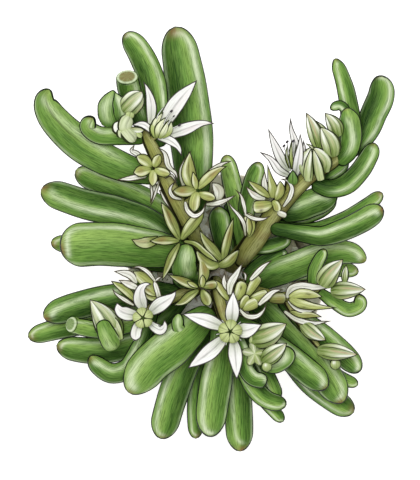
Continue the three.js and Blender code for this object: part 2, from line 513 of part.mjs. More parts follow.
place('husk_low_right', joined([
  driedPetal([[1.7, 0.7, 35.4], [1.1, -1, 35.3], [1.7, -3.4, 35.2]], 0.9),
  driedPetal([[3.9, 0.1, 35.4], [3.1, -1.6, 35.2], [2.1, -3.3, 35.2]], 1),
  driedPetal([[1.4, -2.6, 35.2], [2.6, -5.4, 35.3], [5.1, -3.8, 35.3]], 1),
  driedPetal([[1.6, -3, 35.2], [4.4, -3, 35.4], [7, -2, 35.2]], 0.8),
]), 'petal');
place('fruit_right', star([9.5, -3.4], 34.4, 1.5,
  [[12, -2.8, 0.2], [13.5, -4.4, 0.2], [7.4, -3], [9.2, -5]]), 'fruit');
place('husk_right', joined([
  driedPetal([[9.8, -3.6, 33.3], [8.2, -3.9, 33.5], [7.6, -5, 33.4], [9.2, -6, 33.5],
    [12.9, -5.9, 33.6]], 1),
  driedPetal([[8.9, -3.4, 33.4], [9.4, -4.9, 33.4], [13.1, -4.8, 33.3]], 0.9),
]), 'petal');

const flowers = {
  left_high: {
    centre: [-8.4, 18, 35.9],
    petals: [[[-10.4, 23.9, 37], 1.3], [[-3.7, 24, 37], 2], [[-1.5, 18.6, 36.6], 1.5],
      [[-5.6, 14.7, 36.4], 1.1],
      [[-10.4, 18.8, 36.2], 0.9]],
  },
  lower_left: {
    centre: [-10.1, -5.4, 33.2],
    petals: [[[-9.4, -1.4, 35.3], 1.5], [[-6.2, -2.2, 34.4], 1.2], [[-7.8, -6.6, 33.8], 1.4],
      [[-11.5, -8.6, 35.6], 1.5],
      [[-13.9, -3.8, 34.6], 1.5]],
  },
  front: {
    centre: [0.4, -7.3, 35.8],
    petals: [[[-5.6, -5.1, 36.2], 1.8], [[0.8, -2.2, 36.9], 1.8], [[4.4, -6.2, 37.6], 1.9],
      [[1.2, -13.3, 36.4], 1.8],
      [[-4.9, -11.9, 35.6], 1.9]],
  },
};
for (const [name, { centre, petals }] of Object.entries(flowers)) {
  place(`flower_${name}`, corolla(centre, petals), 'petal');
  const above = [centre[0], centre[1], centre[2] + CARPEL_RISE];
  place(`flower_${name}_middle`, carpels(above, 2.2, 1, 5, 0.5, 0.3), 'carpel');
}
place('flower_right_high', corolla([8.1, 12.7, 36.4], [
  [[5.1, 18, 38.4], 1.2], [[4, 15.1, 37.8], 1.2], [[7.9, 19.4, 39], 1.3], [[9.1, 17.4, 38.8], 1.1],
  [[8.4, 15.2, 39.4], 1.2],
]), 'petal');
place('flower_right_high_middle', carpels([7.2, 14.3, 38.4], 1.5, 0.8, 4, 0.4, 0.3, [-0.3, 1.2]), 'carpel');

place('buds_left_high', joined([
  bud([-11.7, 19.2, 36.6], [-11.4, 22.7, 38], 2.3),
  bud([-11.2, 17.4, 36.2], [-13.8, 18.6, 36.7], 1.6),
  bud([-11.2, 17.7, 36.2], [-12.7, 16.4, 36.7], 1.5),
  bud([-11.3, 17.6, 36.2], [-11.6, 20, 37], 1.7),
]), 'bud');
place('buds_right_high', joined([
  bud([12, 15.3, 36.1], [9.9, 20, 36.7], 2.2),
  bud([13.9, 14.9, 37.2], [11.5, 18.3, 37.9], 2.4),
  bud([13.2, 16, 36.4], [12.2, 19.9, 36.9], 1.8),
]), 'bud');
place('bud_opening', bud([11.3, 12, 36.4], [10.6, 16, 38.8], 3.2), 'bud');
place('bud_lower_left', bud([-12.9, -7.4, 31.3], [-17, -3.3, 31.4], 2.5, 0.7), 'bud');
place('buds_front', joined([
  bud([2.8, -8.6, 35.6], [7.5, -6.5, 36], 3, 0.75),
  bud([3.5, -9.8, 35], [3.6, -10.3, 38], 2.5),
  bud([4.2, -11, 35.4], [7.3, -8.7, 36.2], 2.2),
]), 'bud');
place('buds_right', joined([
  bud([11, -1.1, 35.3], [14.4, 1.9, 36.1], 2.7),
  bud([13.2, -0.6, 35], [15.4, 1.6, 35.6], 1.7),
]), 'bud');
place('bud_right_tip', bud([12.6, -2.4, 34.2], [17.1, -2.1, 34.8], 2.3), 'bud');
place('bud_low_right', bud([9.4, -7.3, 33.1], [12.5, -8.7, 33.7], 1.8), 'bud');
place('buds_low_right_tip', joined([
  bud([11.8, -9.6, 32.6], [16.4, -10.1, 33], 2.2),
  bud([12.2, -10, 32.4], [14.6, -12, 32.4], 1.2),
]), 'bud');

export default plant;
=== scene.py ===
"""A small potted sedum in flower, seen from straight above.

Each leaf, petal, pod and bud is drawn out along its own points, in millimetres from the middle of the pot's foot.
"""

import math
import random
from collections import namedtuple

import bmesh
import bpy
import numpy as np
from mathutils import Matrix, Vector


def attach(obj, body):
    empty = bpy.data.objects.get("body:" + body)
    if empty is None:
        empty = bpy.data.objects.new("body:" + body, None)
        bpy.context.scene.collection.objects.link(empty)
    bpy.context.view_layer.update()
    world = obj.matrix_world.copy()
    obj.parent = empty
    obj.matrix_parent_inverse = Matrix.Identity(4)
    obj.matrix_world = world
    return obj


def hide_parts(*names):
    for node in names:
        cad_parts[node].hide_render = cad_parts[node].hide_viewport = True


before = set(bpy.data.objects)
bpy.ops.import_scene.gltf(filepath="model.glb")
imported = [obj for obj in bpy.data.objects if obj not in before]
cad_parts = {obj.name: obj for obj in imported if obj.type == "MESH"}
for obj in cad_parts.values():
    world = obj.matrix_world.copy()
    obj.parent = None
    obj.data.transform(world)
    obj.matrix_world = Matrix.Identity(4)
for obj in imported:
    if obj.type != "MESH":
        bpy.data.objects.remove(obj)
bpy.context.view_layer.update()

MM = 0.001
SEED = 11

# Pot and soil, as in the frame, in millimetres
POT_HEIGHT = 22
RIM_RADIUS = 12.4
RIM_DEPTH = 4.6
NECK_RADIUS = 11.2
FOOT_RADIUS = 8.4
WALL = 1.5
POT_FLOOR = 1.8
SOIL_TOP = 20.3
SOIL_REACH = 9.4
SOIL_DISH = 0.35
SOIL_CLEARANCE = 0.3
MOUTH_TAPER = 1.2
WORN_EDGE = 0.45
LUMP_WAVES = 9
LUMP_HEIGHT = 0.25
STONES = 620
STONE_SIZES = (0.22, 0.62)

# Picture: 8 picture units to a millimetre, 480 of them from top to bottom
UNITS_PER_MM = 8
PICTURE_HEIGHT = 480
PICTURE_MIDDLE = (-2.1, 4.1)
FOCUS_HEIGHT = 31
LENS = 800
SENSOR = 36
LENS_REACH = (0.01, 10)

# Studio: the lamp's spot and size and the floor's half width are in metres
LAMP_SPOT = (-0.06, 0.1, 0.9)
LAMP_SIZE = 0.35
LAMP_POWER = 5.4
AIR_LIGHT = 0.42
FLOOR_GLOW = 0.55
FLOOR_HALF = 1.5


# Camera, floor and light


def put_in_scene(name, data):
    thing = bpy.data.objects.new(name, data)
    bpy.context.scene.collection.objects.link(thing)
    return thing


def add_camera():
    """A long lens straight above the plant, with +Y up in the picture."""
    data = bpy.data.cameras.new("camera_above")
    data.lens = LENS
    data.sensor_width = SENSOR
    data.clip_start, data.clip_end = LENS_REACH
    camera = put_in_scene("camera_above", data)
    height = FOCUS_HEIGHT * MM + PICTURE_HEIGHT / UNITS_PER_MM * MM * LENS / SENSOR
    camera.location = (PICTURE_MIDDLE[0] * MM, PICTURE_MIDDLE[1] * MM, height)
    bpy.context.scene.camera = camera


def add_lamp():
    """One soft square lamp that faces the plant."""
    data = bpy.data.lights.new("key_light", "AREA")
    data.size = LAMP_SIZE
    data.energy = LAMP_POWER
    lamp = put_in_scene("key_light", data)
    lamp.location = LAMP_SPOT
    aim = Vector((0, 0, FOCUS_HEIGHT * MM)) - lamp.location
    lamp.rotation_euler = aim.to_track_quat("-Z", "Y").to_euler()


def add_world():
    world = bpy.data.worlds.new("studio_air")
    world.use_nodes = True
    background = world.node_tree.nodes["Background"]
    background.inputs["Color"].default_value = (1, 1, 1, 1)
    background.inputs["Strength"].default_value = AIR_LIGHT
    bpy.context.scene.world = world


# Node helpers


class Nodes:
    """Short calls to build one node tree."""

    def __init__(self, tree):
        self.tree = tree

    def add(self, kind, **settings):
        node = self.tree.nodes.new(kind)
        for key, value in settings.items():
            setattr(node, key, value)
        return node

    def link(self, source, target):
        if isinstance(source, bpy.types.NodeSocket):
            self.tree.links.new(source, target)
        else:
            target.default_value = source

    def maths(self, operation, first, second=0.5, third=None, clamp=False):
        node = self.add("ShaderNodeMath", operation=operation, use_clamp=clamp)
        self.link(first, node.inputs[0])
        self.link(second, node.inputs[1])
        if third is not None:
            self.link(third, node.inputs[2])
        return node.outputs[0]

    def mix(self, share, first, second):
        node = self.add("ShaderNodeMix", data_type="RGBA", blend_type="MIX")
        self.link(share, node.inputs[0])
        self.link(first, node.inputs[6])
        self.link(second, node.inputs[7])
        return node.outputs[2]

    def layer(self, tone, over, mask, strength):
        """One colour over another, as far as mask times strength."""
        return self.mix(self.maths("MULTIPLY", mask, strength), tone, over)

    def ramp(self, value, low, high, to_low=0.0, to_high=1.0):
        node = self.add("ShaderNodeMapRange", interpolation_type="SMOOTHSTEP")
        self.link(value, node.inputs["Value"])
        for name, number in (("From Min", low), ("From Max", high), ("To Min", to_low), ("To Max", to_high)):
            node.inputs[name].default_value = number
        return node.outputs["Result"]

    def scaled(self, vector, scale):
        node = self.add("ShaderNodeVectorMath", operation="MULTIPLY")
        self.link(vector, node.inputs[0])
        node.inputs[1].default_value = scale
        return node.outputs[0]

    def spot(self):
        """The place of a point on its own object, in metres."""
        return self.add("ShaderNodeTexCoord").outputs["Object"]

    def attribute(self, name, output):
        return self.add("ShaderNodeAttribute", attribute_name=name).outputs[output]

    def group(self, tree, **values):
        node = self.add("ShaderNodeGroup", node_tree=tree)
        for name, value in values.items():
            self.link(value, node.inputs[name])
        return node.outputs

    def split(self, vector):
        node = self.add("ShaderNodeSeparateXYZ")
        self.link(vector, node.inputs[0])
        return node.outputs

    def noise(self, vector, scale, detail=3.0, roughness=0.5, distortion=0.0):
        node = self.add("ShaderNodeTexNoise")
        self.link(vector, node.inputs["Vector"])
        node.inputs["Scale"].default_value = scale
        node.inputs["Detail"].default_value = detail
        node.inputs["Roughness"].default_value = roughness
        node.inputs["Distortion"].default_value = distortion
        return node.outputs["Fac"]


def colour(red, green, blue):
    """A screen colour, 0 to 255, as the linear colour that shaders take."""
    values = []
    for part in (red, green, blue):
        share = part / 255
        values.append(share / 12.92 if share <= 0.04045 else ((share + 0.055) / 1.055) ** 2.4)
    return (*values, 1.0)


def group_sockets(tree, inputs, outputs):
    for name, kind, value in inputs:
        socket = tree.interface.new_socket(name=name, in_out="INPUT", socket_type=kind)
        if value is not None:
            socket.default_value = value
    for name in outputs:
        tree.interface.new_socket(name=name, in_out="OUTPUT", socket_type="NodeSocketFloat")


def lengthwise_streaks():
    """Group: pencil-thin streaks along a part. Skin is the place on the part pulled straight, in millimetres."""
    tree = bpy.data.node_groups.new("lengthwise_streaks", "ShaderNodeTree")
    group_sockets(tree, [("Skin", "NodeSocketVector", None), ("Fineness", "NodeSocketFloat", 1.0)],
                  ("Fine", "Middle", "Broad", "Height"))
    n = Nodes(tree)
    inside = n.add("NodeGroupInput")
    outside = n.add("NodeGroupOutput")
    sized = n.add("ShaderNodeVectorMath", operation="SCALE")
    n.link(inside.outputs["Skin"], sized.inputs[0])
    n.link(inside.outputs["Fineness"], sized.inputs["Scale"])
    skin = sized.outputs[0]
    fine = n.noise(n.scaled(skin, (0.5, 8, 8)), 1.0, 3, 0.6, 0.3)
    middle = n.noise(n.scaled(skin, (0.32, 4.4, 4.4)), 1.0, 2, 0.55, 0.4)
    broad = n.noise(n.scaled(skin, (0.3, 0.8, 0.8)), 1.0, 2, 0.5)
    n.link(n.ramp(fine, 0.46, 0.64), outside.inputs["Fine"])
    n.link(n.ramp(middle, 0.4, 0.7), outside.inputs["Middle"])
    n.link(n.ramp(broad, 0.36, 0.64), outside.inputs["Broad"])
    n.link(n.maths("MULTIPLY_ADD", fine, 0.5, n.maths("MULTIPLY", middle, 0.5)), outside.inputs["Height"])
    return tree


def speckles():
    """Group: scattered small grains, as a mask, from object space."""
    tree = bpy.data.node_groups.new("speckles", "ShaderNodeTree")
    group_sockets(tree, [("Scale", "NodeSocketFloat", 900.0), ("Amount", "NodeSocketFloat", 0.5)],
                  ("Mask", "Height"))
    n = Nodes(tree)
    inside = n.add("NodeGroupInput")
    outside = n.add("NodeGroupOutput")
    place = n.spot()
    cells = n.add("ShaderNodeTexVoronoi", feature="F1")
    n.link(place, cells.inputs["Vector"])
    n.link(inside.outputs["Scale"], cells.inputs["Scale"])
    grains = n.ramp(cells.outputs["Distance"], 0.42, 0.2)
    patches = n.noise(place, 260, 3, 0.6)
    chosen = n.maths("GREATER_THAN", n.maths("ADD", patches, inside.outputs["Amount"]), 1.0)
    mask = n.maths("MULTIPLY", grains, chosen)
    n.link(mask, outside.inputs["Mask"])
    n.link(n.maths("MULTIPLY_ADD", grains, 0.5, n.maths("MULTIPLY", patches, 0.5)), outside.inputs["Height"])
    return tree


STREAKS = lengthwise_streaks()
SPECKLES = speckles()


def new_material(name):
    material = bpy.data.materials.new(name)
    material.use_nodes = True
    n = Nodes(material.node_tree)
    shader = material.node_tree.nodes["Principled BSDF"]
    return material, n, shader


def dress(n, shader, tone, roughness, height, strength, distance):
    """Gives a shader its colour, its roughness and its relief, which is distance metres deep."""
    relief = n.add("ShaderNodeBump")
    relief.inputs["Strength"].default_value = strength
    relief.inputs["Distance"].default_value = distance
    n.link(height, relief.inputs["Height"])
    n.link(tone, shader.inputs["Base Color"])
    n.link(roughness, shader.inputs["Roughness"])
    n.link(relief.outputs["Normal"], shader.inputs["Normal"])


def streaked_skin(name, tones, blush, line, strokes=0.7, fineness=1.0, roughness=0.45, relief=0.3):
    """A plant skin drawn in lengthwise strokes. tones runs deep, dark, middle, light, pale."""
    deep, dark, middle, light, pale = (colour(*tone) for tone in tones)
    material, n, shader = new_material(name)
    marks = n.split(n.attribute("marks", "Vector"))
    shade = n.attribute("shade", "Fac")
    streak = n.group(STREAKS, Skin=n.attribute("skin", "Vector"), Fineness=fineness)
    fine = streak["Fine"]
    wide = streak["Middle"]
    tone = n.layer(middle, light, streak["Broad"], 0.22)
    tone = n.layer(tone, dark, wide, 0.7 * strokes)
    # Painted light where the shade attribute is below 0.
    lit = n.maths("MULTIPLY", shade, -1.0, clamp=True)
    tone = n.layer(tone, light, lit, n.ramp(fine, 0.0, 1.0, 1.0, 0.75))
    # marks[0]: mostly painted highlight bands, also pale cut faces and paler petal and pod ends.
    tone = n.layer(tone, pale, marks[0], n.ramp(fine, 0.0, 1.0, 1.0, 0.7))
    # Shade above 0 darkens towards deep: painted shade, and on petals and buds their green foot and ribs.
    shaded = n.maths("MULTIPLY", shade, n.ramp(fine, 0.0, 1.0, 0.75, 1.0), clamp=True)
    tone = n.mix(shaded, tone, deep)
    bare = n.maths("MULTIPLY", n.ramp(marks[0], 0.2, 0.9, 1.0, 0.25), 0.65 * strokes)
    tone = n.layer(tone, deep, fine, bare)
    tone = n.layer(tone, colour(*blush), marks[1], n.ramp(wide, 0.0, 1.0, 0.65, 1.0))
    rim = n.attribute("rim", "Fac")
    outline = n.ramp(n.maths("MULTIPLY_ADD", wide, 0.35, rim), 1.4, 1.0)
    inked = n.maths("MAXIMUM", n.maths("MULTIPLY", marks[2], n.ramp(fine, 0.0, 1.0, 0.8, 1.0)), outline)
    tone = n.mix(inked, tone, colour(*line))
    dull = n.ramp(fine, 0, 1, roughness - 0.05, roughness + 0.1)
    dress(n, shader, tone, dull, streak["Height"], relief, 0.0001)
    shader.inputs["Specular IOR Level"].default_value = 0.06
    return material


LEAF_SKIN = streaked_skin(
    "fleshy_leaf", [(20, 48, 14), (56, 98, 34), (107, 149, 64), (158, 191, 100), (228, 239, 204)],
    blush=(140, 96, 62), line=(14, 24, 10), strokes=0.75, fineness=1.35, roughness=0.5)
STEM_SKIN = streaked_skin(
    "olive_stem", [(60, 60, 24), (112, 114, 52), (162, 164, 90), (188, 190, 118), (222, 224, 172)],
    blush=(128, 92, 56), line=(38, 36, 16), strokes=0.8, fineness=1.3, roughness=0.65)
PETAL_SKIN = streaked_skin(
    "white_petal", [(128, 142, 98), (214, 217, 204), (248, 248, 243), (253, 253, 250), (255, 255, 255)],
    blush=(204, 164, 166), line=(66, 62, 58), strokes=0.3, fineness=1.6, roughness=0.6, relief=0.25)
BUD_SKIN = streaked_skin(
    "greenish_bud", [(92, 118, 40), (148, 170, 84), (194, 208, 142), (226, 235, 194), (255, 255, 250)],
    blush=(186, 132, 112), line=(42, 50, 20), strokes=0.45, fineness=1.5, roughness=0.6, relief=0.3)
FRUIT_SKIN = streaked_skin(
    "ripe_pod", [(82, 84, 38), (128, 138, 64), (182, 194, 112), (216, 222, 156), (248, 249, 224)],
    blush=(152, 90, 58), line=(44, 44, 18), strokes=0.6, fineness=1.5, roughness=0.6)
UNRIPE_SKIN = streaked_skin(
    "unripe_pod", [(62, 74, 30), (104, 124, 54), (154, 168, 92), (196, 202, 132), (240, 242, 210)],
    blush=(140, 88, 54), line=(36, 40, 16), strokes=0.65, fineness=1.5, roughness=0.6)
HUSK_SKIN = streaked_skin(
    "withered_petal", [(128, 134, 84), (198, 202, 168), (243, 244, 232), (250, 251, 244), (255, 255, 255)],
    blush=(158, 128, 88), line=(72, 66, 48), strokes=0.5, fineness=1.6, roughness=0.75, relief=0.5)
POD_SKIN = streaked_skin(
    "green_pod", [(96, 116, 44), (148, 166, 80), (184, 200, 116), (206, 216, 146), (240, 244, 208)],
    blush=(156, 104, 74), line=(54, 64, 26), strokes=0.5, fineness=1.6, roughness=0.5)


def plain_skin(name, base, roughness):
    """A tiny part's skin, with a little grain."""
    material, n, shader = new_material(name)
    place = n.spot()
    grain = n.noise(place, 4000, 2)
    n.link(n.mix(grain, tuple(0.7 * value for value in base[:3]) + (1.0,), base), shader.inputs["Base Color"])
    shader.inputs["Roughness"].default_value = roughness
    return material


ANTHER_SKIN = plain_skin("dark_anther", colour(52, 44, 52), 0.7)


def clay_material():
    material, n, shader = new_material("unglazed_clay")
    place = n.spot()
    grains = n.group(SPECKLES, Scale=2600.0, Amount=0.62)
    clouds = n.noise(place, 90, 5, 0.6)
    raised = n.split(place)[2]
    rings = n.noise(n.scaled(place, (40, 40, 1500)), 1.0, 2, 0.4)
    tone = n.mix(n.ramp(clouds, 0.3, 0.7), colour(226, 216, 198), colour(240, 234, 220))
    tone = n.layer(tone, colour(206, 192, 168), n.ramp(rings, 0.45, 0.7), 0.2)
    tone = n.layer(tone, colour(186, 168, 142), grains["Mask"], 0.4)
    patches = n.ramp(n.noise(place, 160, 6, 0.7), 0.52, 0.72)
    bloom = n.maths("MULTIPLY", patches, n.ramp(raised, 0.003, 0.02, 0.6, 0.3))
    tone = n.mix(bloom, tone, colour(248, 244, 236))
    # Darker towards the foot of the pot.
    low_darkening = n.maths("MULTIPLY", n.ramp(raised, 0.0055, 0.0), 0.35)
    tone = n.mix(low_darkening, tone, colour(198, 182, 158))
    height = n.maths("MULTIPLY_ADD", rings, 0.6, n.maths("MULTIPLY", grains["Height"], 0.4))
    dress(n, shader, tone, n.ramp(clouds, 0.2, 0.8, 0.78, 0.95), height, 0.35, 0.00015)
    return material


def soil_material():
    material, n, shader = new_material("damp_crumbs")
    place = n.spot()
    grains = n.group(SPECKLES, Scale=1500.0, Amount=0.56)
    crumbs = n.noise(place, 900, 6, 0.7)
    tone = n.mix(n.ramp(crumbs, 0.3, 0.7), colour(186, 176, 154), colour(222, 212, 194))
    tone = n.layer(tone, colour(212, 202, 184), grains["Mask"], 0.7)
    dress(n, shader, tone, 0.95, n.maths("MULTIPLY_ADD", crumbs, 0.7, grains["Height"]), 0.8, 0.0003)
    return material


def grit_material():
    material, n, shader = new_material("pale_grit")
    place = n.spot()
    patch = n.noise(place, 420, 3, 0.5)
    pores = n.noise(place, 3600, 4, 0.7)
    tone = n.mix(n.ramp(patch, 0.35, 0.65), colour(232, 228, 216), colour(252, 251, 246))
    tone = n.mix(n.ramp(pores, 0.6, 0.75, 0.0, 0.5), tone, colour(178, 166, 148))
    dress(n, shader, tone, 0.9, pores, 0.6, 0.0001)
    return material


# Drawn-out bodies: a ring of points carried along a midline


def midline(points, count):
    """A smooth line through the points, in metres, as evenly counted shares of its length, with its tangents."""
    knots = np.array(points, float) * MM
    knots = np.vstack([2 * knots[0] - knots[1], knots, 2 * knots[-1] - knots[-2]])
    dense = []
    for a, b, c, d in zip(knots, knots[1:], knots[2:], knots[3:]):
        steps = [max(np.linalg.norm(q - p), 1e-9) ** 0.5 for p, q in ((a, b), (b, c), (c, d))]
        t1 = steps[0]
        t2 = t1 + steps[1]
        t3 = t2 + steps[2]
        t = np.linspace(t1, t2, 24, endpoint=False)[:, None]
        ab = (t1 - t) / t1 * a + t / t1 * b
        bc = (t2 - t) / (t2 - t1) * b + (t - t1) / (t2 - t1) * c
        cd = (t3 - t) / (t3 - t2) * c + (t - t2) / (t3 - t2) * d
        abc = (t2 - t) / t2 * ab + t / t2 * bc
        bcd = (t3 - t) / (t3 - t1) * bc + (t - t1) / (t3 - t1) * cd
        dense.append((t2 - t) / (t2 - t1) * abc + (t - t1) / (t2 - t1) * bcd)
    dense = np.vstack([*dense, knots[-2][None]])
    run = np.concatenate([[0], np.cumsum(np.linalg.norm(np.diff(dense, axis=0), axis=1))])
    length = run[-1]
    share = (1 - np.cos(np.linspace(0, math.pi, count))) / 2
    even = 0.55 * share + 0.45 * np.linspace(0, 1, count)

    def spots_at(distance):
        distance = np.clip(distance, 0, length)
        return np.stack([np.interp(distance, run, dense[:, axis]) for axis in range(3)], axis=1)

    places = spots_at(even * length)
    nudge = length * 0.004
    tangents = spots_at(even * length + nudge) - spots_at(even * length - nudge)
    tangents /= np.linalg.norm(tangents, axis=1)[:, None]
    return even, places, tangents, length


def rounded_fullness(t, length, width, root=0.6, peak=0.55, taper=0.18, blunt=False, cap=0.64):
    """How full a leaf or stem is at share t of its length."""
    rising = root + (1 - root) * np.sin(np.minimum(t / peak, 1) * math.pi / 2)
    falling = 1 - taper * np.maximum((t - peak) / (1 - peak), 0) ** 2
    tip_cap = 0.06 if blunt else min(0.45, cap * width / length)
    root_cap = min(0.12, 0.3 * width / length)
    into_tip = np.maximum((t - 1 + tip_cap) / tip_cap, 0)
    into_root = np.maximum(1 - t / root_cap, 0)
    return rising * falling * np.sqrt(np.maximum(1 - into_tip**2, 0)) * np.sqrt(np.maximum(1 - into_root**2, 0))


def smooth(value, low, high):
    """0 below low, 1 above high, smooth between."""
    share = np.clip((value - low) / (high - low), 0, 1)
    return share * share * (3 - 2 * share)


def hill(value, middle, spread):
    """1 at the middle, down to nothing on both sides of it."""
    return np.exp(-(((value - middle) / spread) ** 2))


# One drawn-out body: its points, its faces, and what the materials read at each point
Body = namedtuple("Body", "spots faces skin marks shade rim")

# Added to a point's distance from the rim, in widths of the dark line, where no line may be
NO_LINE = 9


def ring_faces(rings, sides):
    """Faces of rings of points between two end points: point 0 is the root, the last point is the tip."""
    faces = []
    for j in range(sides):
        k = (j + 1) % sides
        faces.append((0, 1 + k, 1 + j))
        last = 1 + (rings - 1) * sides
        faces.append((last + j, last + k, 1 + rings * sides))
    for i in range(rings - 1):
        for j in range(sides):
            k = (j + 1) % sides
            low = 1 + i * sides
            faces.append((low + j, low + k, low + sides + k, low + sides + j))
    return faces


def with_ends(grid):
    """A value for each ring point, and the mean of the first and last ring for the end points."""
    flat = grid.reshape(-1, grid.shape[-1])
    return np.vstack([grid[0].mean(axis=0)[None], flat, grid[-1].mean(axis=0)[None]])


def rise_of(around, middle):
    """How much the surface of rings of points faces up (1) or down (-1)."""
    ahead = np.gradient(around, axis=0)
    beside = np.roll(around, -1, axis=1) - np.roll(around, 1, axis=1)
    facing = np.cross(beside, ahead)
    facing /= np.maximum(np.linalg.norm(facing, axis=2), 1e-15)[..., None]
    outward = np.sign(np.sum(facing * (around - middle), axis=2))
    return facing[..., 2] * outward


def draw_out(points, width, full_at, half_height, mark_at, rings=40, sides=24, up=(0, 0, 1), cup=0.0,
             shape=None, seed=0.0, edge=0.115, twist=0.0, bare_from=None, fleshy=False):
    """Carries a ring along the midline. full_at(t, length) is the fullness, mark_at(t, across, above) the marks:
    pale, blush, line and shade. pale is mostly a painted highlight; shade is painted shade, painted light below
    0, and on petals and buds also their green foot and ribs.

    edge is how wide the dark line along the rim is, in millimetres. A body that ends in a face has none from
    bare_from on. A fleshy one has its line wherever its skin turns down, round a hanging end too.
    """
    t, places, tangents, length = midline(points, rings + 2)
    full = full_at(t, length)
    full[0] = full[-1] = 0
    side = np.cross(tangents, np.array(up, float))
    side /= np.linalg.norm(side, axis=1)[:, None]
    over = np.cross(side, tangents)
    if twist:
        turn = (twist * smooth(t, 0.1, 1.0))[:, None]
        side, over = (side * np.cos(turn) + over * np.sin(turn), over * np.cos(turn) - side * np.sin(turn))
    angles = np.linspace(0, 2 * math.pi, sides, endpoint=False)
    grid = np.ones((rings, 1))
    across = np.cos(angles)[None, :] * grid
    above = np.sin(angles)[None, :] * grid
    t_grid = t[1:-1, None] * np.ones(sides)[None, :]
    radial = np.ones((rings, sides)) if shape is None else shape(t_grid, angles[None, :] * grid)
    half_width = width * MM / 2
    inner = full[1:-1, None]
    tall = half_height(inner) * above * radial + cup * half_width * inner * across**2
    middle = places[1:-1, None, :]
    around = (middle + side[1:-1, None, :] * (half_width * inner * across * radial)[..., None]
              + over[1:-1, None, :] * tall[..., None])
    spots = np.vstack([places[:1], around.reshape(-1, 3), places[-1:]])
    along_mm = t_grid * length / MM
    skin = with_ends(np.stack([along_mm + 10 * seed, across * width / 2, above * width / 2], axis=-1))
    marks = [np.broadcast_to(m, t_grid.shape) for m in mark_at(t_grid, across, above)]
    pale, blush, line = (np.clip(m, 0, 1) for m in marks[:3])
    shade = np.clip(marks[3], -1, 1)
    slope = np.gradient(full * width / 2, t * length / MM)[1:-1, None]
    from_side = (1 - np.abs(across)) * inner * width / 2 / np.sqrt(1 + slope**2)
    from_tip = 0.8 * (1 - t_grid) * length / MM
    hidden = smooth(-above, 0.3, 0.5)
    if bare_from is not None:
        from_side = from_side + smooth(t_grid, bare_from, bare_from + 0.05)
        from_tip = NO_LINE
    elif fleshy:
        rise = rise_of(around, middle)
        flatness = half_height(np.ones(1))[0] / half_width
        leaning = np.abs(rise) / np.sqrt(np.maximum(1 - rise**2, 1e-6)) * flatness
        from_edge = width / 2 * np.maximum(inner, 0.6) * (1 - 1 / np.sqrt(1 + leaning**2))
        from_edge = from_edge + NO_LINE * smooth(np.abs(tangents[1:-1, None, 2]), 0.5, 0.8)
        from_tip = np.minimum((1 - t_grid) * length / MM, from_edge)
        hidden = smooth(-rise, 0.0, 0.1)
    rim = np.minimum(from_side, from_tip) / edge + NO_LINE * hidden
    rim = with_ends(rim[..., None])
    if bare_from is None:
        rim[-1] = 0
    marks = with_ends(np.stack([pale, blush, line], axis=-1))
    return Body(spots, ring_faces(rings, sides), skin, marks, with_ends(shade[..., None]), rim)


def make_piece(name, bodies, material, nodes):
    """Joins bodies to one mesh piece, with its skin and marks as attributes."""
    spots = np.vstack([b.spots for b in bodies])
    faces = []
    start = 0
    for b in bodies:
        faces.extend(tuple(start + corner for corner in face) for face in b.faces)
        start += len(b.spots)
    mesh = bpy.data.meshes.new(name)
    mesh.from_pydata(spots.tolist(), [], faces)
    for key, kind, field in (("skin", "FLOAT_VECTOR", "vector"), ("marks", "FLOAT_VECTOR", "vector"),
                             ("shade", "FLOAT", "value"), ("rim", "FLOAT", "value")):
        values = np.vstack([getattr(b, key) for b in bodies]).astype(np.float32)
        mesh.attributes.new(key, kind, "POINT").data.foreach_set(field, values.ravel())
    mesh.polygons.foreach_set("use_smooth", [True] * len(mesh.polygons))
    mesh.materials.append(material)
    mesh.update()
    piece = put_in_scene(name, mesh)
    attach(piece, "root")
    if nodes:
        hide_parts(*nodes)
    return piece


# Leaves and stems

draws = random.Random(SEED)


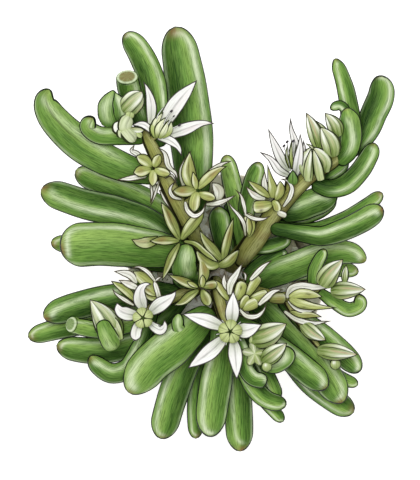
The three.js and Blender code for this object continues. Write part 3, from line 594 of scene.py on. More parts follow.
def leaf(points, width, pale=(0.62, 0.12, 0.9), tip=0.6, shade=0.0, flat=0.8, root=0.6, peak=0.55,
         taper=0.18, blunt=False, groove=None, cap=0.64, round_end=1.0):
    """A fleshy leaf. pale is where across the top a painted highlight band runs (1 one side, -1 the other), its
    spread and its strength.

    The band keeps its distance from the outline and bends round the end, round_end times as far from it. A blunt
    leaf is cut off: it ends in a pale-edged face. cap is how long the rounding of the end is, in widths. tip is
    how brown the end is, and groove is where a fold runs along the top.
    """
    seed = draws.uniform(0, 40)
    wave = draws.uniform(0, 6)
    half = width * MM / 2 * flat
    band_at, band_spread, band_strength = pale
    side = 1 if band_at >= 0 else -1
    long = sum(math.dist(a, b) for a, b in zip(points, points[1:]))

    def full_at(t, length):
        full = rounded_fullness(t, long, width, root, peak, taper, blunt, cap)
        return full * (1 + 0.018 * np.sin(t * 9 + wave) + 0.01 * np.sin(t * 23 + wave))

    def line_at(t, across):
        if blunt:
            return 0.9 * smooth(t, 0.925, 0.935) * (1 - smooth(t, 0.945, 0.955))
        if groove is not None:
            # A dark line along the fold: painted shade in the crease.
            return 0.75 * hill(across, groove, 0.07) * smooth(t, 0.45, 0.7) * (1 - smooth(t, 0.9, 1.0))
        return 0 * t

    def shape(t, angles):
        flatter = 1 - 0.06 * np.maximum(np.sin(angles), 0) ** 3
        if groove is not None:
            dent = hill(np.cos(angles), groove, 0.22) * (np.sin(angles) > 0)
            flatter = flatter - 0.35 * dent * smooth(t, 0.25, 0.6)
        return flatter * np.ones_like(t)

    def mark_at(t, across, above):
        on_top = smooth(above, -0.2, 0.2)
        window = smooth(t, 0.12, 0.4)
        lit_side = across * side
        # The painted highlight band follows the outline at an even distance
        from_side = (1 - lit_side) * full_at(t, 0) * width / 2
        from_end = (1 - t) * long / round_end
        inward = (np.maximum(from_side, 0.01) ** -3 + np.maximum(from_end, 0.01) ** -3) ** (-1 / 3)
        inset = (1 - abs(band_at)) * width / 2 * (1 + 0.12 * np.sin(t * 7 + wave))
        band = hill(inward, inset, band_spread * width * 0.44) * (0.8 + 0.2 * np.sin(t * 13 + wave))
        band = band_strength * band * smooth(lit_side, -0.75, 0.1 - 0.6 * (round_end > 1))
        # A thin painted highlight along the margin on the other side, and painted light outside and under the
        # band
        away = -lit_side
        margin = 0.42 * hill(away, 0.89, 0.055) * smooth(t, 0.35, 0.6)
        outer = 0.25 * smooth(lit_side, 0.8, 0.92)
        glow = 0.6 * hill(across, band_at * 0.6, 0.32) + 0.3 * smooth(t, 0.6, 0.95)
        # The brown of the tip
        blush = tip * smooth(t, 0.925, 0.99) * (0.3 + 0.7 * hill(away, 0.25, 0.5))
        # Shade: the side away from the band, a streak down the middle, the underside and the foot
        dark_side = smooth(away, -0.2, 0.6) * (1 - 0.65 * smooth(away, 0.76, 0.92))
        dark_side = dark_side * (0.72 - 1.4 * min(max(-shade, 0), 0.4))
        core = 0.2 * hill(across, -band_at * 0.45, 0.22) * (1 - smooth(t, 0.6, 0.95))
        under = 0.35 * (1 - smooth(above, -0.6, 0.1))
        foot = (0.85 - 1.2 * min(max(-shade, 0), 0.6)) * (1 - smooth(t, 0.0, 0.42))
        pale = np.maximum(band, margin) * window
        dark = dark_side + core + under + foot + shade - (glow + outer) * window * on_top
        if blunt:
            face = smooth(t, 0.95, 0.965)
            inner = smooth(t, 0.972, 0.985)
            return (np.maximum(pale * on_top * (1 - face), face * (0.9 - 0.7 * inner)), tip * 0.5 * inner,
                    line_at(t, across), dark * (1 - face))
        return pale * on_top, blush, line_at(t, across), dark

    return draw_out(points, width, full_at, lambda full: half * full, mark_at, rings=150 if blunt else 50,
                    sides=36, shape=shape, seed=seed, fleshy=True, bare_from=0.9 if blunt else None)


STEM_UP = (0.31, 0.2, 0.93)


def stem(points, thick, thin, rings=60):
    """A near-round stem with faint nodes."""
    seed = draws.uniform(0, 40)

    def full_at(t, length):
        even = rounded_fullness(t, length / MM, thick, 1.0, 0.05, 1 - thin / thick)
        return even * (1 + 0.03 * np.sin(t * 31 + seed))

    def mark_at(t, across, above):
        # Painted highlight along the top side and painted shade down both sides; the blush marks the nodes.
        pale = 0.4 * hill(across, 0.2, 0.3) * smooth(above, 0, 0.5)
        return pale, 0.3 * (np.sin(t * 40 + seed) > 0.75), 0 * t, 0.65 * smooth(np.abs(across + 0.1), 0.5, 1.0)

    return draw_out(points, thick, full_at, lambda full: thick * MM / 2 * full, mark_at, rings=rings, sides=16,
                    up=STEM_UP, seed=seed)


STEM_FOOT = 17.6

SHOOTS = {
    "upper_left": {
        "stems": [
            stem([[-2.4, 1.4, STEM_FOOT], [-2.5, 1.6, 23], [-4.2, 4.7, 29.3], [-6.1, 8.4, 32.5],
                  [-7.8, 11.9, 33.8], [-9.1, 15.1, 34.1], [-10.5, 17.8, 34.1]], 2.7, 1.5),
            stem([[-6, 8.1, 32.3], [-4.8, 9, 33.1], [-3.8, 9.9, 33.8]], 0.9, 0.9, 14),
            stem([[-4.9, 6, 30.8], [-5.4, 5.2, 32.8], [-5.7, 4.6, 34.9]], 0.9, 0.8, 14),
            stem([[-9.7, 16.3, 34.1], [-9, 17.2, 34.6], [-8.5, 18, 35]], 1, 1.2, 14),
        ],
        "leaves": [
            leaf([[-4.4, 6.4, 29.6], [-4.2, 11.6, 30.3], [-4.4, 16.6, 30.6], [-5, 22.6, 30.8],
                  [-5.9, 27.9, 31], [-6.5, 30.8, 31.3]], 5.4, peak=0.45, root=0.5, pale=(0.7, 0.13, 1.0),
                 tip=0.9, shade=0.15),
            leaf([[-8.4, 15.6, 33.6], [-8.8, 20.6, 33.3], [-9.5, 24.4, 33], [-11, 27.7, 32.5],
                  [-12.7, 30, 31.8]], 3.4, pale=(0.62, 0.14, 1.0)),
            leaf([[-10.2, 17.7, 33.3], [-11.5, 20.9, 33.4], [-12.2, 23, 33.8], [-12.4, 24.1, 34.7],
                  [-12.45, 24.5, 35.7]], 3, peak=0.75, blunt=True, tip=1.3, pale=(0.6, 0.2, 0.7), flat=0.7,
                 shade=0.1),
            leaf([[-8.2, 12.1, 33.2], [-12.9, 13.2, 32.2], [-16.75, 15.05, 31.8], [-19.95, 17.45, 31.5],
                  [-22.1, 19.9, 31.7], [-22.7, 21.6, 32.3], [-22.15, 23, 33]], 4.3, peak=0.5, root=0.55,
                 taper=0.42, flat=0.6, pale=(0.5, 0.2, 0.6), groove=0.2, tip=0.2, shade=-0.25),
            leaf([[-10.1, 16.7, 33.9], [-13.6, 17.1, 33.9], [-16, 17.2, 34.2], [-17.3, 18.2, 34.8],
                  [-16.7, 19.5, 35.6]], 2.4, peak=0.5, pale=(0.5, 0.25, 0.8), groove=0.3, shade=-0.3),
            leaf([[-14.1, 18.5, 34.2], [-14.5, 20.5, 35.4], [-14.15, 22.8, 35.7]], 3.4, peak=0.42, root=0.75,
                 pale=(-0.45, 0.35, 0.6), taper=0.55, tip=0, shade=-0.2),
            leaf([[-13, 18.9, 35.5], [-13.2, 20.5, 36.6], [-13.9, 22.5, 36.4]], 2.1, peak=0.4, root=0.7,
                 taper=0.75, pale=(0.3, 0.6, 1.0), tip=0, flat=0.7, shade=-0.2),
            leaf([[-2.9, 2.6, 25.2], [-5.6, 6, 26.2], [-9.6, 8.6, 26.9], [-13.4, 10.4, 27.2],
                  [-16.5, 11.6, 27.2], [-19, 12.8, 26.8]], 3.4, root=0.5),
        ],
    },
    "upper_right": {
        "stems": [
            stem([[0.9, 1.3, STEM_FOOT], [0.9, 1.4, 22], [2.3, 2.6, 28], [3.9, 4.7, 31], [6.1, 7.8, 33],
                  [8.3, 10.2, 34], [10.6, 12.3, 34.5], [13.1, 13.8, 34.6], [14.4, 15.1, 34.4]], 2.9, 1.6, 70),
            stem([[1.5, 1.9, 25.6], [0.3, 1.7, 31], [-0.5, 1.6, 33.55]], 0.9, 0.8, 14),
            stem([[4, 5, 31.4], [3.2, 5.8, 32.8], [2.9, 6.2, 34.2]], 0.8, 0.8, 14),
            stem([[7.4, 9.2, 33.6], [7.8, 11, 34.6], [8, 12.1, 35.2]], 1.1, 1.5, 14),
        ],
        "leaves": [
            leaf([[5.4, 5.6, 33.2], [7.3, 5.3, 33.3], [9.5, 4.9, 33.3], [11.9, 4.6, 33.1], [14.6, 5.4, 32.9],
                  [17.1, 6.6, 32.6], [19.5, 8.2, 32]], 2.9, peak=0.8, root=0.55, taper=0.1, tip=1.2,
                 pale=(-0.35, 0.2, 1.0)),
            leaf([[4.9, 6.4, 31.4], [10.5, 5.4, 30], [14.9, 6.8, 30], [17.6, 8.5, 30.1], [19.5, 10, 30.1]], 2,
                 peak=0.7, tip=0.8, shade=-0.2),
            leaf([[6.4, 7.5, 31.8], [8.6, 8, 31.9], [11.1, 8.9, 32.1], [13.8, 9.9, 31.9]], 3.6, flat=0.6,
                 root=0.7, pale=(-0.3, 0.25, 0.7)),
            leaf([[5.6, 7, 30.8], [9.8, 7.2, 29.8], [11.9, 8, 29.7], [13.6, 9.4, 29.6]], 2.2, root=0.7,
                 shade=0.05),
            leaf([[10.6, 11.3, 34], [12.9, 10.5, 34.1], [14.8, 11, 34.3], [16.5, 12.6, 34.4],
                  [17.7, 14.5, 34.5], [18.5, 16.2, 34.5]], 2.6, root=0.75, pale=(0.4, 0.2, 0.8)),
            leaf([[13.7, 13.6, 34.4], [15.2, 15.4, 34.9], [15.4, 18.1, 35.3], [14.9, 20.6, 35.3]], 2.8,
                 root=0.65, pale=(0.1, 0.3, 0.9), shade=-0.2),
            leaf([[14.4, 15.3, 34], [15.4, 18.5, 33.2], [15, 22.2, 32.7], [14.3, 24.7, 32.2],
                  [13.5, 26.8, 31.6]], 2.5, peak=0.35, root=0.7, taper=0.42, pale=(-0.45, 0.16, 0.9),
                 shade=-0.15),
            leaf([[14.6, 14.5, 33.9], [17, 16.9, 32.9], [18.3, 19.8, 32.6], [19.3, 22.3, 32.4],
                  [19.1, 24.7, 31.8]], 3.5, peak=0.7, root=0.5, flat=0.7, pale=(0.66, 0.14, 1.0), tip=0.5,
                 shade=0.25),
            leaf([[15, 18.3, 34.4], [14.9, 20.1, 34.2], [14.1, 20.9, 34.2], [12.85, 20.45, 34.1]], 1.3,
                 root=0.8, tip=1.4, pale=(-0.3, 0.4, 1.0), shade=-0.1),
            leaf([[11.8, 11.8, 33.2], [13.6, 13, 33.5], [15.1, 14.2, 33.4]], 2.3, root=0.8, shade=0.6),
            leaf([[3.1, 4.2, 29], [2.5, 7.3, 29.8], [3.1, 10.6, 30.2], [4.1, 13.9, 30]], 2.5, peak=0.65,
                 root=0.5),
            leaf([[2, 2.4, 26.6], [1.5, 7.2, 28], [0.6, 11.4, 28.8], [-0.1, 14.8, 29]], 2.5, root=0.5,
                 shade=-0.4),
            leaf([[0.4, 1.8, 24.6], [-0.5, 4.4, 27.2], [-1.15, 8.4, 28.2]], 2.9, peak=0.8, shade=0.3),
            leaf([[1.3, 2, 23.4], [0.8, 5.1, 24.2], [0.2, 8.9, 24.6]], 2, shade=0.2),
            leaf([[2, -0.6, 26.6], [4.5, 1.1, 27], [7.6, 2.7, 27]], 2.2, shade=0.4, tip=0),
            leaf([[2.7, 2.9, 28], [5.1, 3.3, 28.4], [8.1, 4.2, 28.6]], 2, root=0.7, shade=0.4),
            leaf([[1.6, 1.7, 25], [4.2, 2.2, 25.9], [7.2, 3, 26.2]], 1.8, root=0.7, shade=0.15),
        ],
    },
    "left": {
        "stems": [stem([[-4.9, 0.5, STEM_FOOT], [-4.9, 0.5, 22], [-4.9, 0.3, 27], [-5, 0, 31]], 1.6, 1.3)],
        "leaves": [
            leaf([[-4.9, 0.9, 27.6], [-6.5, 2.4, 30], [-10.9, 3.2, 31.6], [-15.3, 3.6, 32], [-18.4, 3.5, 31.8],
                  [-20.9, 3.3, 31.4]], 5.5, peak=0.6, root=0.45, taper=0.03, pale=(0.76, 0.085, 0.95), cap=0.5,
                 round_end=1.8, tip=1.2, shade=-0.2),
            leaf([[-5, 0.9, 25.8], [-6.9, 4, 28.4], [-9.6, 6.2, 29.5], [-13.4, 7.6, 29.8], [-17.8, 8.6, 29.6],
                  [-21.1, 9.7, 29.2], [-23.3, 10.4, 28.8]], 3.9, peak=0.62, root=0.4, pale=(-0.25, 0.2, 0.8),
                 tip=0.9, shade=0.1),
            leaf([[-5, 0.5, 23.6], [-10.3, 1.4, 25.4], [-15.9, 2.6, 26], [-19.6, 3.5, 26.2],
                  [-22.1, 3.8, 26.2]], 2.5, tip=0.8, shade=-0.15),
            leaf([[-2.5, -0.7, 27.2], [-4.4, -0.8, 28.6], [-6.8, -1.1, 28.8]], 2.4, shade=0.6, tip=0),
            leaf([[-5.1, -0.7, 30.8], [-5.35, 1.4, 33.4], [-4.9, 3.7, 34]], 3.3, peak=0.45, flat=0.5,
                 root=0.75, pale=(0.3, 0.4, 0.6), tip=0.2, shade=-0.25),
        ],
    },
    "lower_left": {
        "stems": [
            stem([[-4.2, -2.3, STEM_FOOT], [-4.2, -2.3, 22], [-5.1, -2.5, 28], [-7.3, -3.4, 30.5],
                  [-9.5, -4.5, 31.6], [-10.4, -5.1, 31.7]], 1.8, 1.3),
            stem([[-7.9, -3.7, 30.9], [-8.4, -3, 31.6], [-8.9, -2.4, 32]], 0.8, 0.8, 14),
        ],
        "leaves": [
            leaf([[-5.4, -2.6, 27.2], [-10.3, -2.4, 27.8], [-14, -3.1, 28], [-17.8, -3.9, 27.9],
                  [-20.9, -4.8, 27.6], [-23, -5.6, 27.2]], 3.6, root=0.5, pale=(0.4, 0.2, 0.9), tip=0.9,
                 shade=0.3),
            leaf([[-4.6, -2.7, 23.2], [-10.9, -4.9, 24.1], [-15.9, -6.1, 24.2], [-20.9, -7, 24],
                  [-25, -8.1, 23.6]], 2.7, peak=0.7, root=0.5),
            leaf([[-8.2, -4, 30.6], [-11.4, -6.2, 28.9], [-16, -7.1, 28.8], [-18.2, -6.8, 29.2],
                  [-19.3, -6.5, 30], [-19.7, -6.4, 30.7]], 2.3, blunt=True, root=0.5, tip=0.2, shade=-0.35),
            leaf([[-5, -3, 23.8], [-9.6, -7.7, 24.8], [-12.8, -9.3, 25.1], [-15.9, -9.8, 25.4],
                  [-19, -9.6, 25.3], [-21.4, -9.1, 25]], 3.3, peak=0.72, root=0.4, shade=0.1),
            leaf([[-15.65, -5.85, 33.6], [-15.2, -7.1, 33.4], [-14.6, -8.4, 32.4], [-13.95, -9.5, 31]], 2.55,
                 flat=0.5, peak=0.62, taper=0.1, cap=0.6, pale=(0.35, 0.35, 0.35), tip=0, shade=-0.5),
            leaf([[-9, -4.4, 31.2], [-10.9, -9.3, 28.8], [-12.4, -12, 28], [-14.4, -12.6, 27.9],
                  [-15.9, -11.8, 28.1], [-17.2, -10.4, 28.4]], 2.6, peak=0.66, root=0.5, pale=(0.4, 0.25, 0.8)),
        ],
    },
    "front_low": {
        "stems": [
            stem([[-1.1, -4.4, STEM_FOOT], [-1.1, -4.4, 22], [-1.3, -4.8, 27], [-1.6, -5, 29.4]], 1.7, 1.5),
        ],
        "leaves": [
            leaf([[-1.7, -5, 28.6], [-3.4, -6.1, 30.2], [-6.5, -8.9, 31.2], [-9.6, -11.5, 31.4],
                  [-12.3, -15, 30.6]], 5.1, peak=0.5, root=0.5, pale=(0.6, 0.2, 0.8), shade=-0.3),
            leaf([[-5.3, -7.9, 31.4], [-6.1, -6.6, 32.7], [-6, -5, 33.2]], 1.6, root=0.7, pale=(0, 0.6, 0.9),
                 tip=0, flat=0.6, shade=-0.35),
            leaf([[-1.4, -4.8, 25], [-4, -9, 26.2], [-5.8, -12.8, 26.4], [-7.1, -16.5, 25.8],
                  [-8.3, -20.9, 24.6]], 3.9, peak=0.6, root=0.4, pale=(0.6, 0.14, 0.9)),
            leaf([[-1.2, -4.8, 22.9], [-2.7, -9.6, 23.6], [-3.6, -13.4, 23.7], [-3.9, -17.1, 23.4],
                  [-3.9, -20.9, 23]], 2.3, shade=0.35),
            leaf([[-1.5, -5, 27.6], [-0.7, -9, 28.8], [-1.4, -14, 28.9], [-1.9, -17.4, 28.2],
                  [-2.1, -20.6, 27]], 4.1, peak=0.6, root=0.4, pale=(0.62, 0.16, 1.0), tip=0.1, shade=-0.2),
            leaf([[-1.1, -4.8, 24], [0.6, -9, 24.9], [1.2, -13.4, 25], [1.5, -17.8, 24.5], [1.7, -22.5, 23.5]],
                 3.6, peak=0.68, root=0.4, pale=(0.35, 0.12, 0.9), tip=1.0),
        ],
    },
    "front": {
        "stems": [
            stem([[-1.4, -1.4, STEM_FOOT], [-1.4, -1.4, 28], [-1.2, -2.6, 32.2], [-0.7, -4.4, 33.6],
                  [0.2, -6.7, 34.5]], 1.8, 1.5),
            stem([[-1.4, -1.5, 28.8], [-2.5, -1.5, 31.4], [-3.1, -1.5, 33.45]], 0.9, 0.8, 14),
        ],
        "leaves": [
            leaf([[0.3, -6.8, 34], [1.5, -8.4, 33.7], [2.1, -10.2, 33.4], [2.5, -12.2, 33.2], [3.4, -13.2, 33],
                  [5.1, -13.5, 32.8]], 2.1, peak=0.75, taper=0.05, cap=0.45, tip=0, pale=(-0.6, 0.25, 1.0)),
            leaf([[0.1, -6.3, 33.9], [1.4, -8.6, 32.2], [2.2, -11.5, 31], [3.5, -14.4, 30.4], [5.1, -15.9, 30],
                  [7.5, -16.5, 29.4]], 2.5, peak=0.6, root=0.5, tip=0.05),
            leaf([[0.2, -6.4, 33.7], [2, -10, 29.8], [4.2, -15.2, 28], [7.1, -18.7, 27]], 1.9, tip=0.05),
            leaf([[0.3, -6.4, 33.8], [3.6, -10.3, 30.6], [5.4, -13.4, 29.6], [6.5, -15.9, 28.8]], 2, tip=0),
            leaf([[-0.2, -5.4, 33.6], [2, -6.5, 32.6], [4.4, -7.9, 31.9], [7.9, -10.6, 31.6],
                  [10.6, -12.8, 31.1], [12.6, -14.4, 30.4]], 3.4, peak=0.72, root=0.4, pale=(-0.5, 0.2, 0.9)),
            leaf([[4.1, -11.2, 33], [5.9, -11.4, 33.6], [7.2, -10.5, 34.2], [7.6, -9.1, 34.5]], 2.6, peak=0.75,
                 root=0.7, pale=(-0.1, 0.6, 1.0), tip=0, shade=-0.35, cap=0.5),
        ],
    },
    "right": {
        "stems": [
            stem([[1.6, -1.7, STEM_FOOT], [1.6, -1.7, 22], [2.5, -2.2, 28.6], [4.4, -2.6, 31], [6.5, -3.1, 32],
                  [9.1, -2.6, 32.6], [11.8, -2, 32.9]], 1.9, 1.1),
            stem([[3.2, -2.4, 29.8], [3, -2.9, 31.6], [2.9, -3, 33.3]], 0.9, 0.9, 14),
            stem([[7.2, -3.2, 32.2], [8.3, -5.2, 32.2], [9.2, -6.6, 31.9], [11.6, -9.4, 31.2]], 0.8, 0.7, 24),
        ],
        "leaves": [
            leaf([[2.4, -2.2, 27.2], [5.6, -5.1, 27.9], [8.8, -8.4, 28.1], [11.9, -12.1, 27.8],
                  [14.6, -16.3, 26.6]], 4.2, peak=0.5, root=0.45, pale=(-0.6, 0.14, 0.9), tip=1.0, shade=-0.1),
            leaf([[1.9, -2, 23.6], [6.5, -8.6, 24.4], [10.4, -13.6, 24.4], [13.4, -16, 24], [16, -17.6, 23.4]],
                 3.2, peak=0.7, root=0.45, shade=0.35),
            leaf([[6.5, -3.2, 31.6], [9.5, -5.9, 30.4], [12.5, -8.4, 29.9], [15, -10.6, 29.2],
                  [16.7, -12.4, 28.4]], 3.1, peak=0.65, root=0.5, pale=(-0.55, 0.16, 0.9), tip=0.15),
            leaf([[2.2, -2.3, 25.4], [7.6, -7.6, 26.2], [13.9, -12.9, 26.2], [16.5, -14.1, 25.8]], 1.7,
                 peak=0.8, tip=0.1, shade=-0.25),
            leaf([[2.4, -1.8, 26.8], [5.4, -0.3, 27.2], [8.9, 1, 27.5], [12.3, 2.3, 27.8], [15.4, 2.5, 27.7],
                  [17.5, 1.5, 27.2]], 3.7, peak=0.35, taper=0.4, pale=(-0.55, 0.18, 0.9), tip=0.7, shade=-0.15),
            leaf([[2, -1.6, 24.2], [9.1, -0.1, 24.4], [13.5, 0.5, 24.8], [16.6, 0.1, 24.6]], 2.1, peak=0.7,
                 shade=-0.4),
            leaf([[10.6, -2.2, 32.6], [11, 0.5, 32.9], [12.3, 3, 33.3]], 1.7, peak=0.5, shade=-0.2),
            leaf([[11.2, -2.1, 32.7], [13.3, -3.6, 31.8], [15.3, -4.6, 31.6], [16.6, -4, 31.8],
                  [16.4, -2.6, 32.3]], 1.9, peak=0.6, shade=-0.35),
        ],
    },
}


# Star fruits, withered petals, flowers and buds


def pod(points, width, root=0.45, peak=0.45, point=2.0, shade=0.0, seam=0.5, brown=0.35, dot=None):
    """One ripe pod: boat-shaped, with a seam along its top and a brown patch. dot is where a dark spot sits."""
    seed = draws.uniform(0, 40)

    def mark_at(t, across, above):
        on_top = smooth(above, -0.2, 0.2)
        line = seam * hill(across, 0, 0.1) * smooth(t, 0.03, 0.15) * (1 - smooth(t, 0.7, 0.95))
        if dot is not None:
            line = line + 1.2 * hill(t, dot[0], 0.07) * hill(across, dot[1], 0.16)
        patch = hill(t, 0.6, 0.17) * hill(across, 0.1, 0.5)
        # A painted highlight streak on one side and a paler end; away is painted shade on the other side and at
        # the foot.
        pale = 0.75 * hill(across, -0.5, 0.22) * smooth(t, 0.15, 0.4) + 0.5 * smooth(t, 0.78, 0.98)
        away = 0.55 * smooth(across, 0.0, 0.8) + 0.45 * (1 - smooth(t, 0, 0.3))
        return pale * on_top, 0.8 * brown * (patch + 0.4 * smooth(t, 0.85, 1.0)), line * on_top, away + shade

    return draw_out(points, width, lambda t, length: petal_fullness(t, root, peak, point),
                    lambda full: np.maximum(width * MM / 2 * 0.6, 0.00025) * np.minimum(1.6 * full, 1), mark_at,
                    rings=26, sides=24, cup=0.12, seed=seed)


def petal_fullness(t, root, peak, point):
    """A petal's width: wide in the middle, drawn out to a fine point."""
    rising = root + (1 - root) * np.sin(np.minimum(t / peak, 1) * math.pi / 2)
    share = np.clip((t - peak) / (1 - peak), 0, 1)
    return np.where(t < peak, rising, 1 - share**point) * np.sqrt(np.clip(t / 0.03, 0, 1))


PETAL_THICKNESS = 0.26


def blade(points, width, cup=0.35, root=0.55, peak=0.42, point=1.5, line=0.5, tint=0.3, green=0.6, twist=0.0):
    """A thin petal, boat-shaped, with a faint midline, a green foot and a dark margin."""
    seed = draws.uniform(0, 40)

    def mark_at(t, across, above):
        vein = line * hill(across, 0, 0.09) * smooth(t, 0.02, 0.2) * (1 - smooth(t, 0.6, 0.9)) * (above > 0)
        side_veins = 0.25 * line * hill(np.abs(across), 0.45, 0.05) * (1 - smooth(t, 0.35, 0.6))
        blush = tint * (hill(across, 0.25, 0.3) * 0.6 * smooth(t, 0.3, 0.5) + 0.6 * smooth(t, 0.88, 1.0))
        foot = green * (1 - smooth(t, 0.05, 0.48)) * (0.55 + 0.45 * hill(across, 0, 0.4))
        return 0.35 * smooth(t, 0.25, 0.5), blush, np.maximum(vein, side_veins), foot

    return draw_out(points, width, lambda t, length: petal_fullness(t, root, peak, point),
                    lambda full: PETAL_THICKNESS * MM / 2 * np.minimum(3 * full, 1), mark_at, rings=34, sides=32,
                    cup=cup, seed=seed, twist=twist)


def plump_pod(points, width, flat=0.85, root=0.55, peak=0.45, blunt=1.6, pale_tip=0.8, up=(0.35, 0.2, 0.92),
              edge=0.11, seam=0.5, pale_from=0.35):
    """A green pod from the middle of a flower, with a seam down its back."""
    seed = draws.uniform(0, 40)

    def mark_at(t, across, above):
        middle = seam * hill(across, 0, 0.12) * (above > 0) * smooth(t, 0.3, 0.6)
        return pale_tip * smooth(t, pale_from, pale_from + 0.6), 0, middle, 0.45 * (1 - smooth(t, 0, 0.4))

    return draw_out(points, width, lambda t, length: petal_fullness(t, root, peak, blunt),
                    lambda full: width * MM / 2 * flat * full, mark_at, rings=22, sides=24, up=up, seed=seed,
                    edge=edge)


PODS = 5


def pod_dome(centre, radius, height, turn, seam=0.5):
    """The closed pods in the middle of an open flower, pressed together to a dome."""
    x, y, z = centre
    bodies = []
    for i in range(PODS):
        angle = turn + i / PODS * 2 * math.pi
        out = (math.cos(angle) * radius, math.sin(angle) * radius)
        points = [[x + out[0] * share, y + out[1] * share, z + height * rise]
                  for share, rise in ((0.3, 0), (0.62, 0.45), (0.42, 0.85), (0.08, 1))]
        bodies.append(plump_pod(points, radius * 1.02, flat=0.8, root=0.5, peak=0.5, blunt=2.4,
                                up=(out[0], out[1], 0.5), edge=0.06, seam=seam, pale_tip=0.35))
    return bodies


def thread(points, thick=0.17):
    """A white filament."""
    def mark_at(t, across, above):
        return 0.5, 0, 0, 0.2

    return draw_out(points, thick, lambda t, length: 1 - 0.3 * t, lambda full: thick * MM / 2 * full, mark_at,
                    rings=12, sides=8, up=STEM_UP, edge=0.04)


def egg_fullness(t, length):
    return np.sqrt(np.maximum(1 - (2 * t - 1) ** 2, 0))


def anther(x, y, z, size=0.3):
    """A small dark pollen sac at the end of a filament."""
    points = [[x - size * 0.6, y - size * 0.5, z - 0.05], [x, y, z], [x + size * 0.5, y + size * 0.6, z - 0.05]]

    def mark_at(t, across, above):
        return 0, 0, 0.3 * (np.abs(across) < 0.2), 0

    return draw_out(points, size, egg_fullness, lambda full: size * MM / 2 * 0.8 * full, mark_at, rings=10,
                    sides=10, edge=0.03)


BUD_TWIST = 0.3


def bud(points, width, flat=0.85, folds=5, spin=0.0, root=0.55, peak=0.4, point=1.8, green=0.6, pink=0.3):
    """A pointed bud: pale petals folded round each other, each with a green rib, and a seam between each two."""
    seed = draws.uniform(0, 40)

    def phase(t, angles):
        return (angles / (2 * math.pi) * folds + t * BUD_TWIST + spin) % 1.0

    def shape(t, angles):
        step = phase(t, angles)
        return 0.94 + 0.1 * np.sin(step * math.pi) * smooth(t, 0.02, 0.2) * (1 - smooth(t, 0.9, 1.0))

    def mark_at(t, across, above):
        step = phase(t, np.arctan2(above, across) % (2 * math.pi))
        seam = (1 - smooth(np.minimum(step, 1 - step), 0.025, 0.1)) * smooth(t, 0.06, 0.2)
        # overlap_shade: painted shade beside one seam of each fold, under the overlapping petal edge.
        overlap_shade = 0.75 * hill(step, 0.88, 0.14) * (1 - smooth(t, 0.6, 1.0))
        rib = 0.5 * hill(step, 0.5, 0.1) * (1 - smooth(t, 0.5, 0.85))
        # ridge: petals paler towards the tip, with a painted highlight beside one seam of each fold.
        ridge = smooth(t, 0.2, 0.75) * (0.3 + 0.7 * hill(step, 0.25, 0.16))
        blush = pink * (0.8 * smooth(t, 0.85, 1.0) + 0.9 * hill(step, 0.66, 0.08) * smooth(t, 0.25, 0.5))
        return ridge, blush, seam, green * (1 - smooth(t, 0.1, 0.6)) + overlap_shade + rib

    return draw_out(points, width, lambda t, length: petal_fullness(t, root, peak, point),
                    lambda full: width * MM / 2 * flat * full, mark_at, rings=40, sides=90, shape=shape,
                    seed=seed)


def ball(x, y, z, radius):
    """A small round unopened bud."""
    seed = draws.uniform(0, 40)

    def mark_at(t, across, above):
        glint = hill(across, -0.25, 0.3) * hill(t, 0.66, 0.16) * (above > 0)
        shade = 0.3 * smooth(across, 0.1, 0.9) + 0.5 * (1 - smooth(t, 0, 0.5)) + 0.3 - 0.5 * glint
        return 0.9 * glint, 0, 0, shade

    return draw_out([[x, y - radius, z], [x, y, z], [x, y + radius, z]], radius * 2, egg_fullness,
                    lambda full: radius * MM * full, mark_at, rings=30, sides=30, seed=seed, edge=0.1)


# Where the arms of the star-shaped bud point, in degrees
STAR_ARMS = (8, 102, 170, 242, 298)


def star_bud(centre, radius, height):
    """A bud seen end-on: five petal backs that meet in a star, each with a rib."""
    x, y, z = centre
    seed = draws.uniform(0, 40)

    def arm(angles):
        """1 on the rib of an arm, 0 between two arms."""
        apart = [np.abs((2 * math.pi - angles - math.radians(at)) % (2 * math.pi) - math.pi) for at in STAR_ARMS]
        return 0.5 + 0.5 * np.cos(np.minimum(5 * np.min(apart, axis=0), math.pi))

    def shape(t, angles):
        return 0.6 + 0.4 * arm(angles) ** 0.8

    def mark_at(t, across, above):
        wave = arm(np.arctan2(above, across))
        line = 1 - smooth(t, 0.28, 0.36)
        # ridge: a painted highlight along each arm's rib; half: a painted highlight on one half of each arm.
        ridge = smooth(wave, 0.93, 0.995) * smooth(t, 0.3, 0.5)
        half = 0.25 * smooth(np.sin(np.arctan2(above, across) + t), -0.5, 0.5)
        # Shade: painted shade between the arms, less on the ribs.
        return 0.4 * ridge + half, 0.15 * ridge, line, 0.15 + 0.4 * (1 - smooth(wave, 0.02, 0.3)) - 0.3 * ridge

    return draw_out([[x, y, z], [x, y, z + height / 2], [x, y, z + height]], radius * 2,
                    lambda t, length: np.sqrt(np.maximum(1 - t**1.6, 0)) * np.sqrt(np.clip(t / 0.04, 0, 1)),
                    lambda full: radius * MM * full, mark_at, rings=50, sides=120, up=(0, 1, 0), shape=shape,
                    seed=seed, bare_from=0.0)


# The fruits that are still greenish
UNRIPE = ("fruit_left", "fruit_centre", "fruit_middle")

